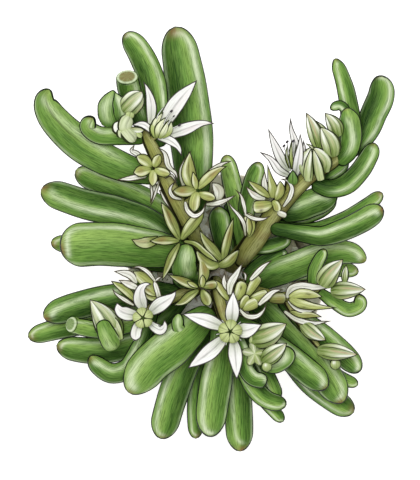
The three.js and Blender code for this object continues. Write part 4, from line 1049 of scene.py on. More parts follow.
FRUITS = {
    "fruit_left_high": [
        pod([[-9.38, 13.25, 36.3], [-10.12, 13.94, 36.7], [-11.31, 14.59, 36.8]], 1.5, peak=0.55, root=0.35,
            point=2.2, brown=0.2, shade=-0.1),
        pod([[-9.06, 13.25, 36.3], [-8.69, 14, 36.7], [-8.3, 14.85, 36.8]], 1.3, peak=0.5, point=2.2,
            dot=(0.88, 0.1), shade=-0.1),
        pod([[-9.5, 12.88, 36.3], [-10.44, 12.71, 36.7], [-11.7, 12.45, 36.8]], 1.5, peak=0.55, root=0.4,
            point=2.2, brown=0.6, shade=-0.2),
        pod([[-9.25, 12.75, 36.3], [-9.19, 11.88, 36.7], [-9.25, 10.7, 36.7]], 1.25, peak=0.5, point=2.2,
            shade=-0.6, seam=0.2),
        pod([[-8.94, 12.81, 36.3], [-8.12, 12.56, 36.7], [-6.95, 12.3, 36.7]], 1.25, peak=0.5, root=0.5,
            point=2.4, shade=-0.3, seam=0.1),
    ],
    "fruit_high": [
        pod([[-4.2, 10.62, 34.8], [-4.75, 12.4, 35.6], [-4.62, 15.2, 36]], 2.0, peak=0.42, root=0.6, point=1.5,
            brown=0.3, seam=0.7),
        pod([[-3.81, 10.5, 35.3], [-4.02, 11.62, 36.1], [-4.25, 12.69, 36.2]], 0.94, root=0.5, point=1.8,
            shade=-0.5, seam=0.2),
        pod([[-3.62, 10.5, 35], [-2.38, 11.81, 35.6], [-1, 12.88, 35.8], [0.06, 13.31, 35.7]], 1.38, peak=0.4,
            point=1.6, brown=0.9, shade=-0.35),
        pod([[-3.5, 9.88, 35.1], [-2.5, 9.56, 35.4], [-1.3, 9.25, 35.3]], 1.3, peak=0.5, root=0.5, point=2.4,
            shade=-0.1),
        pod([[-3.75, 10, 35], [-4, 9, 35.5], [-4.09, 7.5, 35.4]], 1.55, peak=0.5, root=0.5, point=2.6,
            seam=0.3, shade=-0.3),
        pod([[-3.88, 10.38, 35], [-5.12, 10.15, 35.5], [-6.8, 10.2, 35.5]], 1.5, peak=0.5, root=0.5, point=2.4,
            brown=0.9, seam=0.2, shade=0.2),
    ],
    "fruit_left": [
        pod([[-5.81, 4.06, 35.4], [-6.81, 6.12, 35.7], [-7.56, 7.75, 35.7], [-8.25, 8.88, 35.5]], 1.5,
            root=0.35, brown=0.8, seam=0.8),
        pod([[-5.69, 4.12, 35.4], [-4.62, 5.69, 35.7], [-3.62, 6.88, 35.7], [-2.75, 8.06, 35.6]], 1.62,
            peak=0.5, root=0.35, point=2.2, seam=0.7, shade=-0.2, brown=0.2),
        pod([[-5.88, 4, 35.4], [-7.62, 4.05, 35.7], [-9.69, 3.96, 35.6]], 1.25, peak=0.5, root=0.35, point=1.8,
            brown=0.9),
        blade([[-8.38, 4.25, 35], [-9.75, 3.81, 35.1], [-10.75, 3.75, 35.1], [-11.94, 4.18, 35]], 1.5,
              peak=0.5, green=0.9, tint=0.8),
        pod([[-5.88, 3.75, 35.4], [-6.81, 2.12, 35.7], [-7.44, 0.62, 35.6], [-8.09, -1.06, 35.5]], 1.12,
            peak=0.4, root=0.4, seam=0.7),
        pod([[-5.38, 3.94, 35.3], [-3.94, 3.62, 35.6], [-2.62, 2.5, 35.6], [-1, 1.25, 35.4]], 0.81, peak=0.5,
            root=0.6, point=3, seam=0.3, brown=0.1),
    ],
    "fruit_centre": [
        pod([[-3.31, -1.81, 34], [-2.81, 0.12, 34.4], [-3.35, 2.12, 34.4]], 1.5, peak=0.5, root=0.4, point=1.8,
            brown=0.9, shade=-0.2, seam=0.2),
        pod([[-3.06, -1.75, 34.4], [-3, -0.88, 34.8], [-3.06, -0.19, 34.8]], 0.88, peak=0.5, root=0.5,
            shade=-0.6, seam=0.2),
        pod([[-3.62, -1.88, 34], [-5.12, -1.19, 34.4], [-7.44, -0.19, 34.4]], 1.25, peak=0.4, point=1.6,
            brown=0.8, seam=0.2),
        pod([[-3.62, -1.81, 34.4], [-4.38, -1.38, 34.7], [-5.06, -1.04, 34.7]], 0.75, peak=0.5, shade=-0.5,
            seam=0.1),
        pod([[-3, -1.71, 34], [-2.12, -1.54, 34.4], [-1.12, -1.38, 34.4]], 1.25, peak=0.6, root=0.4, point=4,
            brown=1.0, seam=0.1, shade=0.1),
        pod([[-3.5, -2.12, 34], [-4.62, -2.88, 34.3], [-5.56, -3.62, 34.3], [-6.62, -4.06, 34.2]], 1.25,
            root=0.4, point=1.8),
        pod([[-3.12, -2.12, 34], [-2.62, -3.12, 34.3], [-2.19, -4.19, 34.3]], 1.44, peak=0.55, root=0.35,
            point=3, shade=-0.2),
    ],
    "fruit_middle": [
        pod([[-0.44, 1.44, 34.1], [-0.09, 3.38, 34.5], [0.31, 5, 34.6], [0.85, 7, 34.5]], 1.25, peak=0.4,
            root=0.5, point=1.8, brown=0.7),
        pod([[-0.62, 1.6, 34.1], [-1.75, 2.9, 34.3], [-2.69, 4.06, 34.3], [-3.44, 5.38, 34.2]], 1.35, peak=0.4,
            root=0.6, point=1.8, shade=0.05),
        pod([[-0.75, 1.2, 34.1], [-1.9, 0.95, 34.4], [-2.85, 1.5, 34.4], [-3.9, 2.9, 34.3]], 1.45, root=0.5,
            point=1.8, shade=-0.15),
        pod([[-0.95, 0.85, 34.3], [0.15, 1.35, 34.7], [1.6, 2.95, 34.6]], 1.4, root=0.6, point=1.8, shade=0.2,
            seam=0.3),
    ],
    "fruit_right_high": [
        pod([[5.69, 9.31, 35.7], [5.69, 10.62, 36.2], [5.38, 11.88, 36.3], [5.04, 13.62, 36.1]], 1.31,
            peak=0.32, point=0.9, seam=0.3, brown=0.1),
        pod([[5.38, 9.44, 35.7], [4.25, 10.25, 36.1], [2.5, 11.56, 36.1]], 1.12, root=0.5, point=1.5,
            brown=0.2),
        pod([[5.56, 8.56, 35.7], [4.44, 8.27, 36.2], [3.19, 8.19, 36.2]], 1.69, peak=0.6, point=6,
            dot=(0.6, -0.6), brown=0.6, shade=-0.2),
        pod([[6.12, 9.06, 35.7], [6.62, 10.12, 36.2], [6.66, 11.5, 36.2]], 1.25, peak=0.5, root=0.4, point=2.2,
            seam=0.4),
        pod([[5.75, 8.88, 35.9], [6.19, 8.38, 36.2], [6.31, 7.56, 36.1]], 1.12, peak=0.55, root=0.6, point=4,
            shade=-0.1, seam=0.1),
    ],
    "fruit_right_low": [
        pod([[2.81, 4.5, 34.7], [2.85, 6, 35.2], [2.69, 7.56, 35.3]], 1.56, peak=0.5, root=0.3, point=5,
            shade=-0.45, seam=0),
        pod([[2.79, 4.62, 35.1], [2.75, 5.88, 35.7], [2.6, 7.19, 35.8]], 0.94, peak=0.5, root=0.3, shade=0.15,
            seam=0),
    ],
    "fruit_low_left": [
        pod([[-8.75, -2.5, 32.9], [-9.88, -1.19, 33.5], [-11.69, 0.25, 33.5]], 1.75, peak=0.5, root=0.4,
            point=2.5, shade=0.05, seam=0.2, brown=0.1),
        pod([[-8.62, -3.31, 32.7], [-9.62, -3, 33], [-10.5, -2.25, 33.1]], 0.94),
        pod([[-8.88, -2.81, 33.2], [-9.75, -2.25, 33.5], [-10.5, -1.62, 33.5]], 1, peak=0.5, root=0.5,
            point=2.5, brown=0.7, shade=-0.5),
        pod([[-11.44, -3.44, 32.6], [-12.62, -2.19, 33], [-14.5, -0.98, 33]], 1.19, root=0.5, point=1.8,
            shade=-0.05, brown=0),
    ],
    "fruit_low_right": [
        pod([[1.25, -3.38, 34.1], [1.69, -2.12, 34.6], [2, -0.96, 34.6]], 1.56, peak=0.55, point=5,
            shade=-0.15, dot=(0.66, 0), seam=0.1, brown=0.1),
        pod([[2.44, -3.06, 34], [3.19, -1.69, 34.5], [4.04, -0.29, 34.6]], 1.38, peak=0.7, root=0.4, point=5,
            seam=0, brown=0.1),
        pod([[2.88, -3.31, 34.1], [4, -3, 34.6], [5.25, -2.66, 34.6]], 1.62, peak=0.7, root=0.35, point=5,
            shade=0.1, seam=0.1, brown=0.1),
        pod([[1.75, -4.38, 34.4], [2.06, -3.62, 34.7], [2.75, -2.75, 34.7]], 1, peak=0.6, root=0.5, point=4,
            seam=0.2, shade=0.05, brown=0.1),
        pod([[2, -4.5, 34.1], [2.88, -4, 34.6], [3.88, -3.56, 34.5]], 1.56, peak=0.6, root=0.4, point=5,
            shade=-0.05, seam=0, brown=0.1),
        pod([[0.25, -3.44, 33.8], [-0.75, -2, 34.2], [-1.54, -0.81, 34.2]], 1.06, peak=0.5, root=0.5, point=3,
            seam=0.2),
    ],
    "fruit_right": [
        pod([[7.75, -3.04, 34.4], [9.12, -2.6, 34.8], [10.5, -2.69, 34.8], [11.94, -3, 34.6]], 1.38, peak=0.4,
            point=2.2, dot=(0.58, 0), brown=0.2, seam=0.2, shade=-0.4),
        pod([[7.75, -3.25, 34.4], [9.12, -3.81, 34.8], [10.88, -4.19, 34.8], [13.88, -4.38, 34.5]], 1.31,
            peak=0.3, point=1.1, dot=(0.33, 0.6), brown=0.1, seam=0.2, shade=-0.4),
        pod([[5.44, -3.19, 34.5], [6.38, -3.16, 35], [7.38, -3.15, 34.9]], 1.5, peak=0.6, root=0.7, point=5,
            shade=0.6, seam=0),
        pod([[7.88, -4.81, 33.8], [9.12, -5.19, 34.1], [10.62, -5.25, 34.1], [11.88, -5.5, 34]], 1, shade=0.05),
    ],
}

HUSKS = {
    "husk_left_high": [
        blade([[-10.25, 14.12, 35.7], [-11.25, 14.88, 35.8], [-11.88, 15.25, 35.9], [-11.69, 15.62, 36],
               [-11.46, 16.05, 36]], 0.75, green=0.8),
        blade([[-10, 12, 35.7], [-11.12, 11.94, 35.8], [-12.25, 11.75, 35.8], [-13.81, 11.59, 35.7]], 0.82),
        blade([[-8.41, 11.5, 35.7], [-8.88, 10, 35.8], [-9.55, 8.19, 35.7]], 0.42),
        blade([[-9.55, 11.25, 35.7], [-9.34, 9.88, 35.8], [-9.59, 8.5, 35.7]], 0.42),
        blade([[-9, 11.38, 35.5], [-9.12, 10.12, 35.5], [-9.44, 8.88, 35.5]], 0.75, green=1.2),
        blade([[-7.25, 13, 35.7], [-6.5, 12.56, 35.8], [-6.09, 11.59, 35.8]], 0.53),
        blade([[-7.75, 11.81, 35.7], [-7, 12.19, 35.8], [-6.56, 11.69, 35.8], [-6.31, 11, 35.7]], 0.42),
        blade([[-6.62, 12.62, 35.7], [-7.31, 13.38, 36], [-7.75, 14.88, 36.1], [-8.69, 15.69, 36]], 0.8,
              green=0.3),
        blade([[-8.38, 10.38, 33.7], [-7.62, 8.88, 33.7], [-6.75, 7.62, 33.7]], 0.45, green=0),
    ],
    "husk_high": [
        blade([[-5.38, 10.75, 34.4], [-5.59, 12.62, 34.8], [-5.06, 14.12, 35.1], [-4.41, 15.31, 35.2]], 0.88,
              green=0.9),
        blade([[-3.5, 11.19, 34.5], [-2.12, 12.44, 35], [-0.75, 13.5, 35.2], [0.69, 13.98, 35.1]], 0.88,
              green=0.9),
        blade([[-2.62, 8.54, 34.2], [-1.38, 8.65, 34.4], [-0.12, 9.06, 34.5], [1.19, 9.73, 34.5]], 0.75,
              tint=0.4),
        pod([[-1.1, 9, 33.6], [-1, 10.2, 33.8], [-1.9, 11.3, 33.8]], 1.5, shade=0.1, brown=0.5),
        blade([[-5.19, 8.88, 35], [-4.88, 7.75, 35.8], [-4, 7.1, 36.1], [-3.06, 7.62, 36.1],
               [-2.66, 8.75, 35.6]], 0.75, green=0.1, tint=0),
        blade([[-5.56, 9.16, 34.2], [-6.69, 9.52, 34.4], [-7.09, 10.38, 34.5], [-6.31, 11.62, 34.5]], 0.62,
              green=0.3),
    ],
    "husk_right_high": [
        blade([[7, 8.19, 36], [7.81, 9.38, 36.5], [8.09, 10.62, 36.7], [7.44, 11.5, 36.7],
               [6.54, 11.73, 36.6]], 0.72, green=0.3, tint=0),
        blade([[4.81, 9.21, 35.6], [3.5, 9.62, 35.8], [2.31, 10.81, 35.8]], 0.95, green=0.3, tint=1),
        blade([[5, 9.75, 35.5], [4.66, 11.25, 35.6], [4.73, 12.69, 35.6]], 0.88, green=0.5),
        pod([[6.38, 7.5, 36.1], [6.88, 7.31, 36.4], [7.4, 7.1, 36.2]], 0.9, peak=0.5, root=0.6, point=4,
            seam=0, brown=0.1, shade=0.2),
    ],
    "husk_right_low": [
        blade([[2.31, 4.56, 35.4], [2.12, 6.12, 36], [1.44, 7.25, 36.3], [0.56, 8.19, 36.4],
               [-0.02, 9.23, 36.4]], 0.62, green=0.9, tint=0),
        blade([[2.38, 7.12, 36.2], [2.1, 8.5, 36.5], [1.75, 9.62, 36.5], [0.98, 10.46, 36.5]], 0.57, green=0.2,
              tint=0.6),
        blade([[2.12, 7.35, 36.2], [3.5, 6.75, 36.5], [4.62, 6.73, 36.5], [5.56, 7.18, 36.4]], 0.62, green=0.2,
              tint=0),
    ],
    "husk_low_left": [
        blade([[-11.25, -1.31, 33.6], [-12, -0.31, 33.9], [-13, 0.02, 33.9], [-14.12, 0.19, 33.7]], 1.05,
              green=0.4),
        blade([[-8.84, -1.25, 34], [-9.25, -0.62, 34.2], [-10, 0.23, 34.2], [-11.12, 0.75, 34.1],
               [-12.06, 0.42, 33.9]], 0.62, green=0.3),
        blade([[-8.38, -3.38, 33.7], [-8.71, -2.12, 33.9], [-9.09, -0.94, 34.1]], 0.75, green=0.9, root=0.9,
              point=5),
        blade([[-11, -1.94, 33.8], [-12.19, -1.44, 34], [-13.56, -0.88, 34]], 1, tint=1, green=0.2),
        blade([[-11.56, -4.06, 33.4], [-12.88, -3.27, 33.6], [-13.88, -2.56, 33.6], [-14.34, -1.88, 33.6]],
              0.65, green=0.3),
        blade([[-9.06, -1.09, 34], [-8.5, -0.66, 34.2], [-7.9, -0.39, 34.1]], 0.45, green=0.2),
    ],
    "husk_low_right": [
        blade([[0.31, -2.75, 35.1], [0.44, -1.38, 35.5], [1.19, -0.12, 35.6], [2.02, 1.31, 35.5]], 1.07,
              green=0.3, tint=0.1),
        blade([[0.25, -2.38, 35], [-0.34, -1.12, 35.3], [-0.27, 0.12, 35.3]], 0.75, green=0.5),
        blade([[2.88, -0.94, 35.2], [3.75, 0, 35.5], [4.62, 0.88, 35.6], [5.69, 1.62, 35.5]], 0.82, green=0.2),
        blade([[3.94, -4, 35.1], [4.88, -3.12, 35.5], [5.88, -2.31, 35.6], [7.06, -2.08, 35.4]], 0.88,
              green=0.2),
        blade([[1.54, -4.5, 35.1], [2.5, -5.38, 35.5], [3.75, -5.38, 35.6], [4.59, -4.62, 35.6],
               [4.96, -3.69, 35.5]], 0.75, green=0.1, tint=0),
        blade([[2.31, -0.94, 35.1], [2.29, -0.19, 35.3], [1.79, 0.23, 35.3]], 0.42, green=0),
    ],
    "husk_right": [
        blade([[7.44, -3.19, 34], [8, -2, 34.4], [9.12, -1.66, 34.5], [10.88, -1.79, 34.4],
               [13.69, -1.69, 34.2]], 1.12, green=0.4, tint=0),
        blade([[7.62, -3.5, 33.8], [8.75, -4.41, 34.2], [10, -4.75, 34.2], [11.69, -4.42, 34]], 0.8, green=0.3,
              tint=0),
        blade([[7.12, -4.75, 33.2], [8.62, -5.75, 33.6], [10.38, -6.27, 33.6], [13.06, -6, 33.4]], 0.85,
              green=0.5, tint=0),
    ],
}

PETALS = {
    "flower_left_high": [
        blade([[-9.5, 18.4, 36], [-9.4, 20.8, 36.6], [-9.8, 22.6, 36.9], [-10.4, 23.9, 37]], 1.35),
        blade([[-8.5, 17.5, 36], [-6.4, 20.9, 36.9], [-3.7, 24, 37]], 2.1, peak=0.5, point=1.7),
        blade([[-7.7, 17, 36], [-4.9, 18, 36.7], [-3, 18.6, 36.8], [-1.5, 18.6, 36.6]], 1.6, twist=0.35,
              tint=0.6),
        blade([[-8.6, 16.9, 36], [-7.1, 16.5, 36.6], [-6.1, 15.7, 36.7], [-5.6, 14.5, 36.4]], 1.15),
        blade([[-8.8, 17, 36], [-9.7, 18, 36.7], [-10.5, 18.5, 36.8], [-11.9, 18.4, 36.4]], 0.95, peak=0.55),
    ],
    "flower_lower_left": [
        blade([[-10.4, -4.5, 33.3], [-10.85, -3.1, 34.3], [-10.7, -2, 34.9], [-10.1, -1.45, 35.2],
               [-9.3, -1.4, 35.3]], 1.75, peak=0.35),
        blade([[-9.5, -4.9, 33.3], [-8.4, -4, 34], [-7.3, -3.3, 34.4], [-6.7, -2.8, 34.5], [-6.3, -2.2, 34.4]],
              1.9),
        blade([[-9.8, -6.1, 33.2], [-9, -6.8, 33.4], [-8.2, -7.1, 33.7], [-7.75, -6.6, 34.1],
               [-7.8, -5.8, 34.4]], 1.35, peak=0.5, cup=0.5),
        blade([[-10.9, -6.2, 33.4], [-11.3, -7.3, 34.5], [-11.45, -8.5, 35.3]], 1.45, peak=0.5, point=6,
              root=0.7),
        blade([[-11.2, -5.3, 33.4], [-12.5, -5.1, 34.1], [-13.4, -4.6, 34.6], [-13.7, -3.7, 34.7]], 1.8,
              peak=0.5, point=2),
    ],
    "flower_front": [
        blade([[-0.4, -6.8, 35.8], [-2.6, -5.9, 36.6], [-5.6, -5.1, 36.2]], 1.85, tint=0.2),
        blade([[0.6, -6.3, 35.8], [0.7, -4.4, 36.8], [0.8, -2.2, 36.9]], 1.85, tint=0.2),
        blade([[1.3, -7.2, 35.9], [2.6, -7.1, 36.9], [4.4, -6.4, 37.4]], 2, peak=0.4, root=0.7, tint=0.2),
        blade([[0.8, -8.4, 35.8], [1.1, -10.6, 36.6], [1.25, -13.3, 36.4]], 1.85, tint=0.2),
        blade([[-0.3, -8.1, 35.8], [-2.1, -9.8, 36.4], [-4.9, -11.9, 35.6]], 2.05, tint=0.2),
    ],
    "flower_right_high": [
        blade([[8.4, 13.2, 36.6], [8.5, 16, 37.8], [8, 17.9, 38.5], [7.9, 19.4, 39]], 1.05, green=0.9,
              line=0.7),
        blade([[7.8, 12.6, 36.4], [6.8, 14.1, 37.2], [6, 15.8, 37.9], [5.1, 18, 38.4]], 1.3, cup=0.45,
              green=0.9, line=0.7),
        blade([[8, 12, 36.3], [6.5, 12.8, 37], [5.4, 14.2, 37.5], [4, 15.1, 37.8]], 1.1, cup=0.45, green=0.9,
              line=0.7),
        blade([[8.9, 12.6, 36.4], [9.5, 14.2, 37.4], [9.6, 15.6, 38.1], [9.5, 16.6, 38.5]], 0.9, green=0.9,
              line=0.7),
        blade([[8.5, 12, 36.5], [8.9, 14.2, 38.2], [9.1, 15.8, 38.9], [9.1, 17.4, 39.2]], 1.3, cup=0.45,
              green=0.9, line=0.7),
    ],
}

GREEN_PODS = {
    "flower_left_high": [
        plump_pod([[-8.9, 16.9, 36.2], [-9.1, 18.1, 37], [-8.7, 19.3, 37.3]], 1.25, pale_tip=0.5, edge=0.09),
        plump_pod([[-9, 17.3, 36.3], [-8.94, 18.6, 37.2], [-7.88, 20.05, 37.6]], 1.0, pale_tip=1.3,
                  pale_from=0.1, edge=0.09),
        plump_pod([[-8.1, 16.9, 36.3], [-7.2, 17.7, 37.1], [-6.9, 18.95, 37.5]], 0.95, pale_tip=1.2, edge=0.09),
        plump_pod([[-8.75, 16.9, 36.3], [-8.4, 18.2, 37.5], [-7.6, 19.4, 37.9]], 1.15, pale_tip=1.3,
                  pale_from=0.1, edge=0.09),
        plump_pod([[-8.4, 16.8, 36.4], [-7.75, 17.9, 37.6], [-7.2, 19.1, 37.9]], 0.95, pale_tip=1.3,
                  pale_from=0.1, edge=0.09),
    ],
    "flower_lower_left": pod_dome((-10.45, -5.6, 34.1), 1.3, 1.9, 0.5, seam=0),
    "flower_front": pod_dome((0.4, -7.3, 36.2), 1.5, 1.9, 0.2),
    "flower_right_high": [
        plump_pod([[8.1, 12.9, 36.8], [7.9, 14.6, 38], [8, 16.5, 38.7]], 0.6),
        plump_pod([[7.8, 13, 36.7], [7.4, 14.5, 37.6], [7.5, 15.9, 38.2]], 0.5),
        plump_pod([[8.4, 13.1, 36.8], [8.6, 14.7, 38], [8.6, 16.1, 38.6]], 0.5),
    ],
}

THREADS = {
    "flower_left_high": [
        thread([[-8.1, 18, 37.2], [-7.6, 19.1, 38.3], [-6.95, 20.1, 38.3]], 0.2),
        thread([[-7.9, 17.8, 37.2], [-7.2, 18.7, 38.1], [-6.6, 19.45, 38.1]], 0.2),
        thread([[-7.9, 17.2, 36.5], [-6.9, 17.9, 37.2], [-5.9, 18.4, 37.5]], 0.2),
        thread([[-8.9, 18.2, 37], [-8.6, 19.6, 37.9], [-7.9, 20.6, 38]], 0.2),
    ],
    "flower_right_high": [
        thread([[7.9, 13, 36.8], [7.4, 14.6, 38], [7.1, 15.7, 38.6]]),
        thread([[8, 13, 36.9], [7.7, 14.9, 38.3], [7.5, 16.2, 38.8]]),
        thread([[8.2, 13, 36.9], [8.3, 14.9, 38.4], [8.25, 16.3, 39]]),
    ],
    "flower_front": [
        thread([[0.4 + out * math.cos(turn), -7.3 + out * math.sin(turn), z]
                for out, z in ((1.2, 36.2), (1.55, 36.8), (1.85, 36.9))], 0.22)
        for turn in (0.75, 2.2, 3.35, 4.4, 5.6)
    ],
    "flower_lower_left": [
        thread([[-10.4 + 0.9 * math.cos(turn), -5.4 + 0.9 * math.sin(turn), 33.8],
                [-10.4 + 0.3 * math.cos(turn), -5.2 + 0.3 * math.sin(turn), 35.2],
                [-10 + 0.35 * math.cos(turn), -4.8 + 0.3 * math.sin(turn), 35.6]], 0.16)
        for turn in (0.3, 1.5, 2.9, 5.2)
    ],
}

ANTHERS = {
    "flower_left_high": [anther(-6.9, 20.1, 38.3), anther(-6.6, 19.5, 38.1, 0.2), anther(-5.9, 18.4, 37.6)],
    "flower_right_high": [anther(7.1, 15.8, 38.7), anther(7.5, 16.3, 38.9), anther(8.25, 16.4, 39.1)],
}

BUDS = {
    "buds_left_high": [
        bud([[-12.6, 20.2, 36.6], [-11.65, 21.3, 37.6], [-10.5, 22.6, 37.7]], 2.75, spin=0.1, root=0.65,
            point=3),
        plump_pod([[-12.19, 19.31, 36.7], [-12, 20, 37.5], [-11.81, 20.81, 37.4]], 1.31, up=(0, 0, 1),
                  pale_tip=0),
        plump_pod([[-12.8, 17.7, 36.5], [-13.7, 17.9, 36.9], [-13.4, 19, 36.8]], 1.3, pale_tip=0.9, blunt=3,
                  pale_from=-0.3),
        plump_pod([[-12.95, 17.5, 36.9], [-12.65, 18.6, 37.5], [-12.05, 19.6, 37.1]], 1.85, pale_tip=0.3,
                  blunt=3.5, pale_from=-0.1),
        bud([[-12.9, 17.95, 36.5], [-11.65, 17.75, 37], [-10.2, 17.75, 36.9]], 0.95, root=0.6, peak=0.5,
            point=3, green=0.9, folds=3, spin=0.5),
        plump_pod([[-11.6, 17.6, 36.4], [-11, 17.2, 36.9], [-10.6, 16.9, 36.6]], 1.1, pale_tip=0, blunt=3),
        plump_pod([[-12.95, 17.85, 36.8], [-12.3, 17.2, 37.5], [-11.4, 16.25, 37.2]], 1.8, pale_tip=0.3,
                  blunt=3.5, pale_from=-0.1),
        plump_pod([[-13.05, 17.85, 37], [-13.25, 17.4, 37.3], [-13.15, 16.8, 37.1]], 1.1, pale_tip=0.3,
                  blunt=3.5, pale_from=-0.1),
    ],
    "buds_right_high": [
        bud([[11.69, 15.25, 36.4], [11, 17.38, 36.9], [9.85, 20, 36.9]], 2, green=0.8, pink=0.9, spin=0.3),
        blade([[12.5, 17.3, 36.3], [11.5, 18.1, 36.6], [10.3, 19.3, 36.8]], 1.15, root=0.7, green=0.7,
              tint=0.5),
        bud([[13.31, 14.56, 37.2], [12.88, 16.12, 37.9], [11.62, 18.19, 37.7]], 2.44, spin=0.45),
        bud([[13.94, 17, 36.2], [13.38, 18.38, 36.6], [12.19, 19.94, 36.7]], 2, green=0.7, spin=0.2),
    ],
    "bud_opening": [
        bud([[9.81, 12, 36.6], [9.48, 13.75, 37.6], [10.5, 15.75, 38]], 1.25, root=0.7, peak=0.45, point=3,
            green=0.3, folds=3, spin=0.3),
        bud([[12.38, 12.62, 36.6], [12.31, 14, 37.6], [10.62, 15.69, 38]], 1.5, root=0.6, peak=0.45, point=3,
            green=0.5, folds=3, spin=0.6),
        bud([[10.12, 11.5, 36.8], [10.19, 13.5, 38.1], [10.5, 15.62, 38.3]], 1.31, root=0.85, peak=0.3,
            point=2, green=-0.2, folds=3, spin=0.4),
        bud([[11.69, 11.62, 36.8], [11.23, 13.5, 38.1], [10.66, 15.62, 38.3]], 1.31, root=0.85, peak=0.3,
            point=2, green=-0.2, folds=3, spin=0.6),
        blade([[11, 15, 37.8], [10.5, 15.69, 38.2], [9.73, 16.15, 38.1]], 0.45, green=0),
        blade([[10.44, 14.62, 37.8], [9.88, 15.12, 38.1], [9.69, 15.5, 38.1]], 0.38, green=0),
    ],
    "bud_lower_left": [
        bud([[-13.69, -8.75, 31.1], [-15.06, -6, 31.9], [-17.12, -3.29, 31.7]], 3.5, green=0.8, pink=0.2,
            folds=6, spin=0.35, root=0.5, flat=0.7),
        blade([[-13.31, -8.38, 32.2], [-13.75, -6.88, 32.7], [-14.5, -5.38, 32.6]], 1.19, root=0.8, peak=0.5,
              point=4, green=0.8),
    ],
    "buds_front": [
        star_bud([3.47, -10.04, 35], 1.7, 1.9),
        bud([[3.12, -8.3, 35.5], [4.88, -7.75, 36.2], [7.5, -6.29, 36.2]], 3.05, green=0.8, pink=0.5,
            spin=0.15, root=0.65),
        plump_pod([[2.94, -8.69, 35.9], [3.25, -8, 36.3], [3.69, -7.25, 36.1]], 0.88, up=(0, 0, 1),
                  pale_tip=0.2),
        bud([[4.6, -11, 35.6], [5.7, -10.1, 36.5], [7.5, -8.69, 36.5]], 2.3, green=1.0, pink=0.5, spin=0.3,
            root=0.65),
        ball(4.98, -11.66, 36.2, 0.68),
    ],
    "buds_right": [
        bud([[11.94, -1.5, 35.3], [12.81, -0.06, 36], [14.5, 1.75, 35.9]], 2.62, green=0.55, pink=0.8,
            spin=0.2, root=0.75, peak=0.3),
        bud([[14.69, -1.12, 35], [14.75, 0, 35.5], [14.88, 1.06, 35.4]], 1, green=0.5, spin=0.2, root=0.7),
    ],
    "bud_right_tip": [
        bud([[13, -2.31, 34.2], [14.75, -2.16, 34.9], [17.35, -2.04, 34.7]], 2.31, pink=0.8, spin=0.1,
            root=0.5, peak=0.35),
    ],
    "bud_low_right": [
        bud([[9.38, -6.38, 33.1], [10.5, -7.31, 33.6], [12.44, -8.46, 33.5]], 1.94, green=0.2, pink=0.8,
            spin=0.3, root=0.6),
    ],
    "buds_low_right_tip": [
        bud([[11.25, -9.69, 32.7], [13.62, -9.88, 33.3], [16.38, -10.19, 33.1]], 2.19, pink=0.8, spin=0.2),
        ball(13.55, -11.4, 32.9, 0.72),
    ],
}


# Pot and soil


def turned(name, outline, material, segments=128):
    """A body turned on the pot's axis from an outline of radius and height."""
    mesh = bpy.data.meshes.new(name)
    shape = bmesh.new()
    rings = []
    for radius, height in outline:
        if radius == 0:
            rings.append([shape.verts.new((0, 0, height * MM))])
            continue
        ring = []
        for i in range(segments):
            angle = i / segments * 2 * math.pi
            spot = (math.cos(angle) * radius * MM, math.sin(angle) * radius * MM, height * MM)
            ring.append(shape.verts.new(spot))
        rings.append(ring)
    for low, high in zip(rings, rings[1:]):
        for i in range(segments):
            k = (i + 1) % segments
            corners = [low[i % len(low)], low[k % len(low)], high[k % len(high)], high[i % len(high)]]
            shape.faces.new(list(dict.fromkeys(corners)))
    bmesh.ops.recalc_face_normals(shape, faces=shape.faces)
    shape.to_mesh(mesh)
    shape.free()
    mesh.polygons.foreach_set("use_smooth", [True] * len(mesh.polygons))
    mesh.materials.append(material)
    piece = put_in_scene(name, mesh)
    return piece


ARC_STEPS = 5


def rounded(corners, radius):
    """An outline with its corners rounded by short arcs."""
    out = [corners[0]]
    for before, corner, after in zip(corners, corners[1:], corners[2:]):
        a, b, c = (np.array(p, float) for p in (before, corner, after))
        run_in = min(radius, np.linalg.norm(b - a) / 2)
        run_out = min(radius, np.linalg.norm(c - b) / 2)
        start = b + (a - b) / np.linalg.norm(a - b) * run_in
        end = b + (c - b) / np.linalg.norm(c - b) * run_out
        for i in range(ARC_STEPS + 1):
            t = i / ARC_STEPS
            out.append(tuple((1 - t) ** 2 * start + 2 * t * (1 - t) * b + t**2 * end))
    out.append(corners[-1])
    return out


def make_pot():
    neck = POT_HEIGHT - RIM_DEPTH
    inside = RIM_RADIUS - WALL
    corners = [(0, 0), (FOOT_RADIUS, 0), (NECK_RADIUS, neck), (RIM_RADIUS, neck), (RIM_RADIUS, POT_HEIGHT),
               (inside, POT_HEIGHT), (inside - MOUTH_TAPER, neck), (FOOT_RADIUS - WALL, POT_FLOOR),
               (0, POT_FLOOR)]
    piece = turned("clay_pot", rounded(corners, WORN_EDGE), clay_material())
    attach(piece, "root")
    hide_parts("pot")


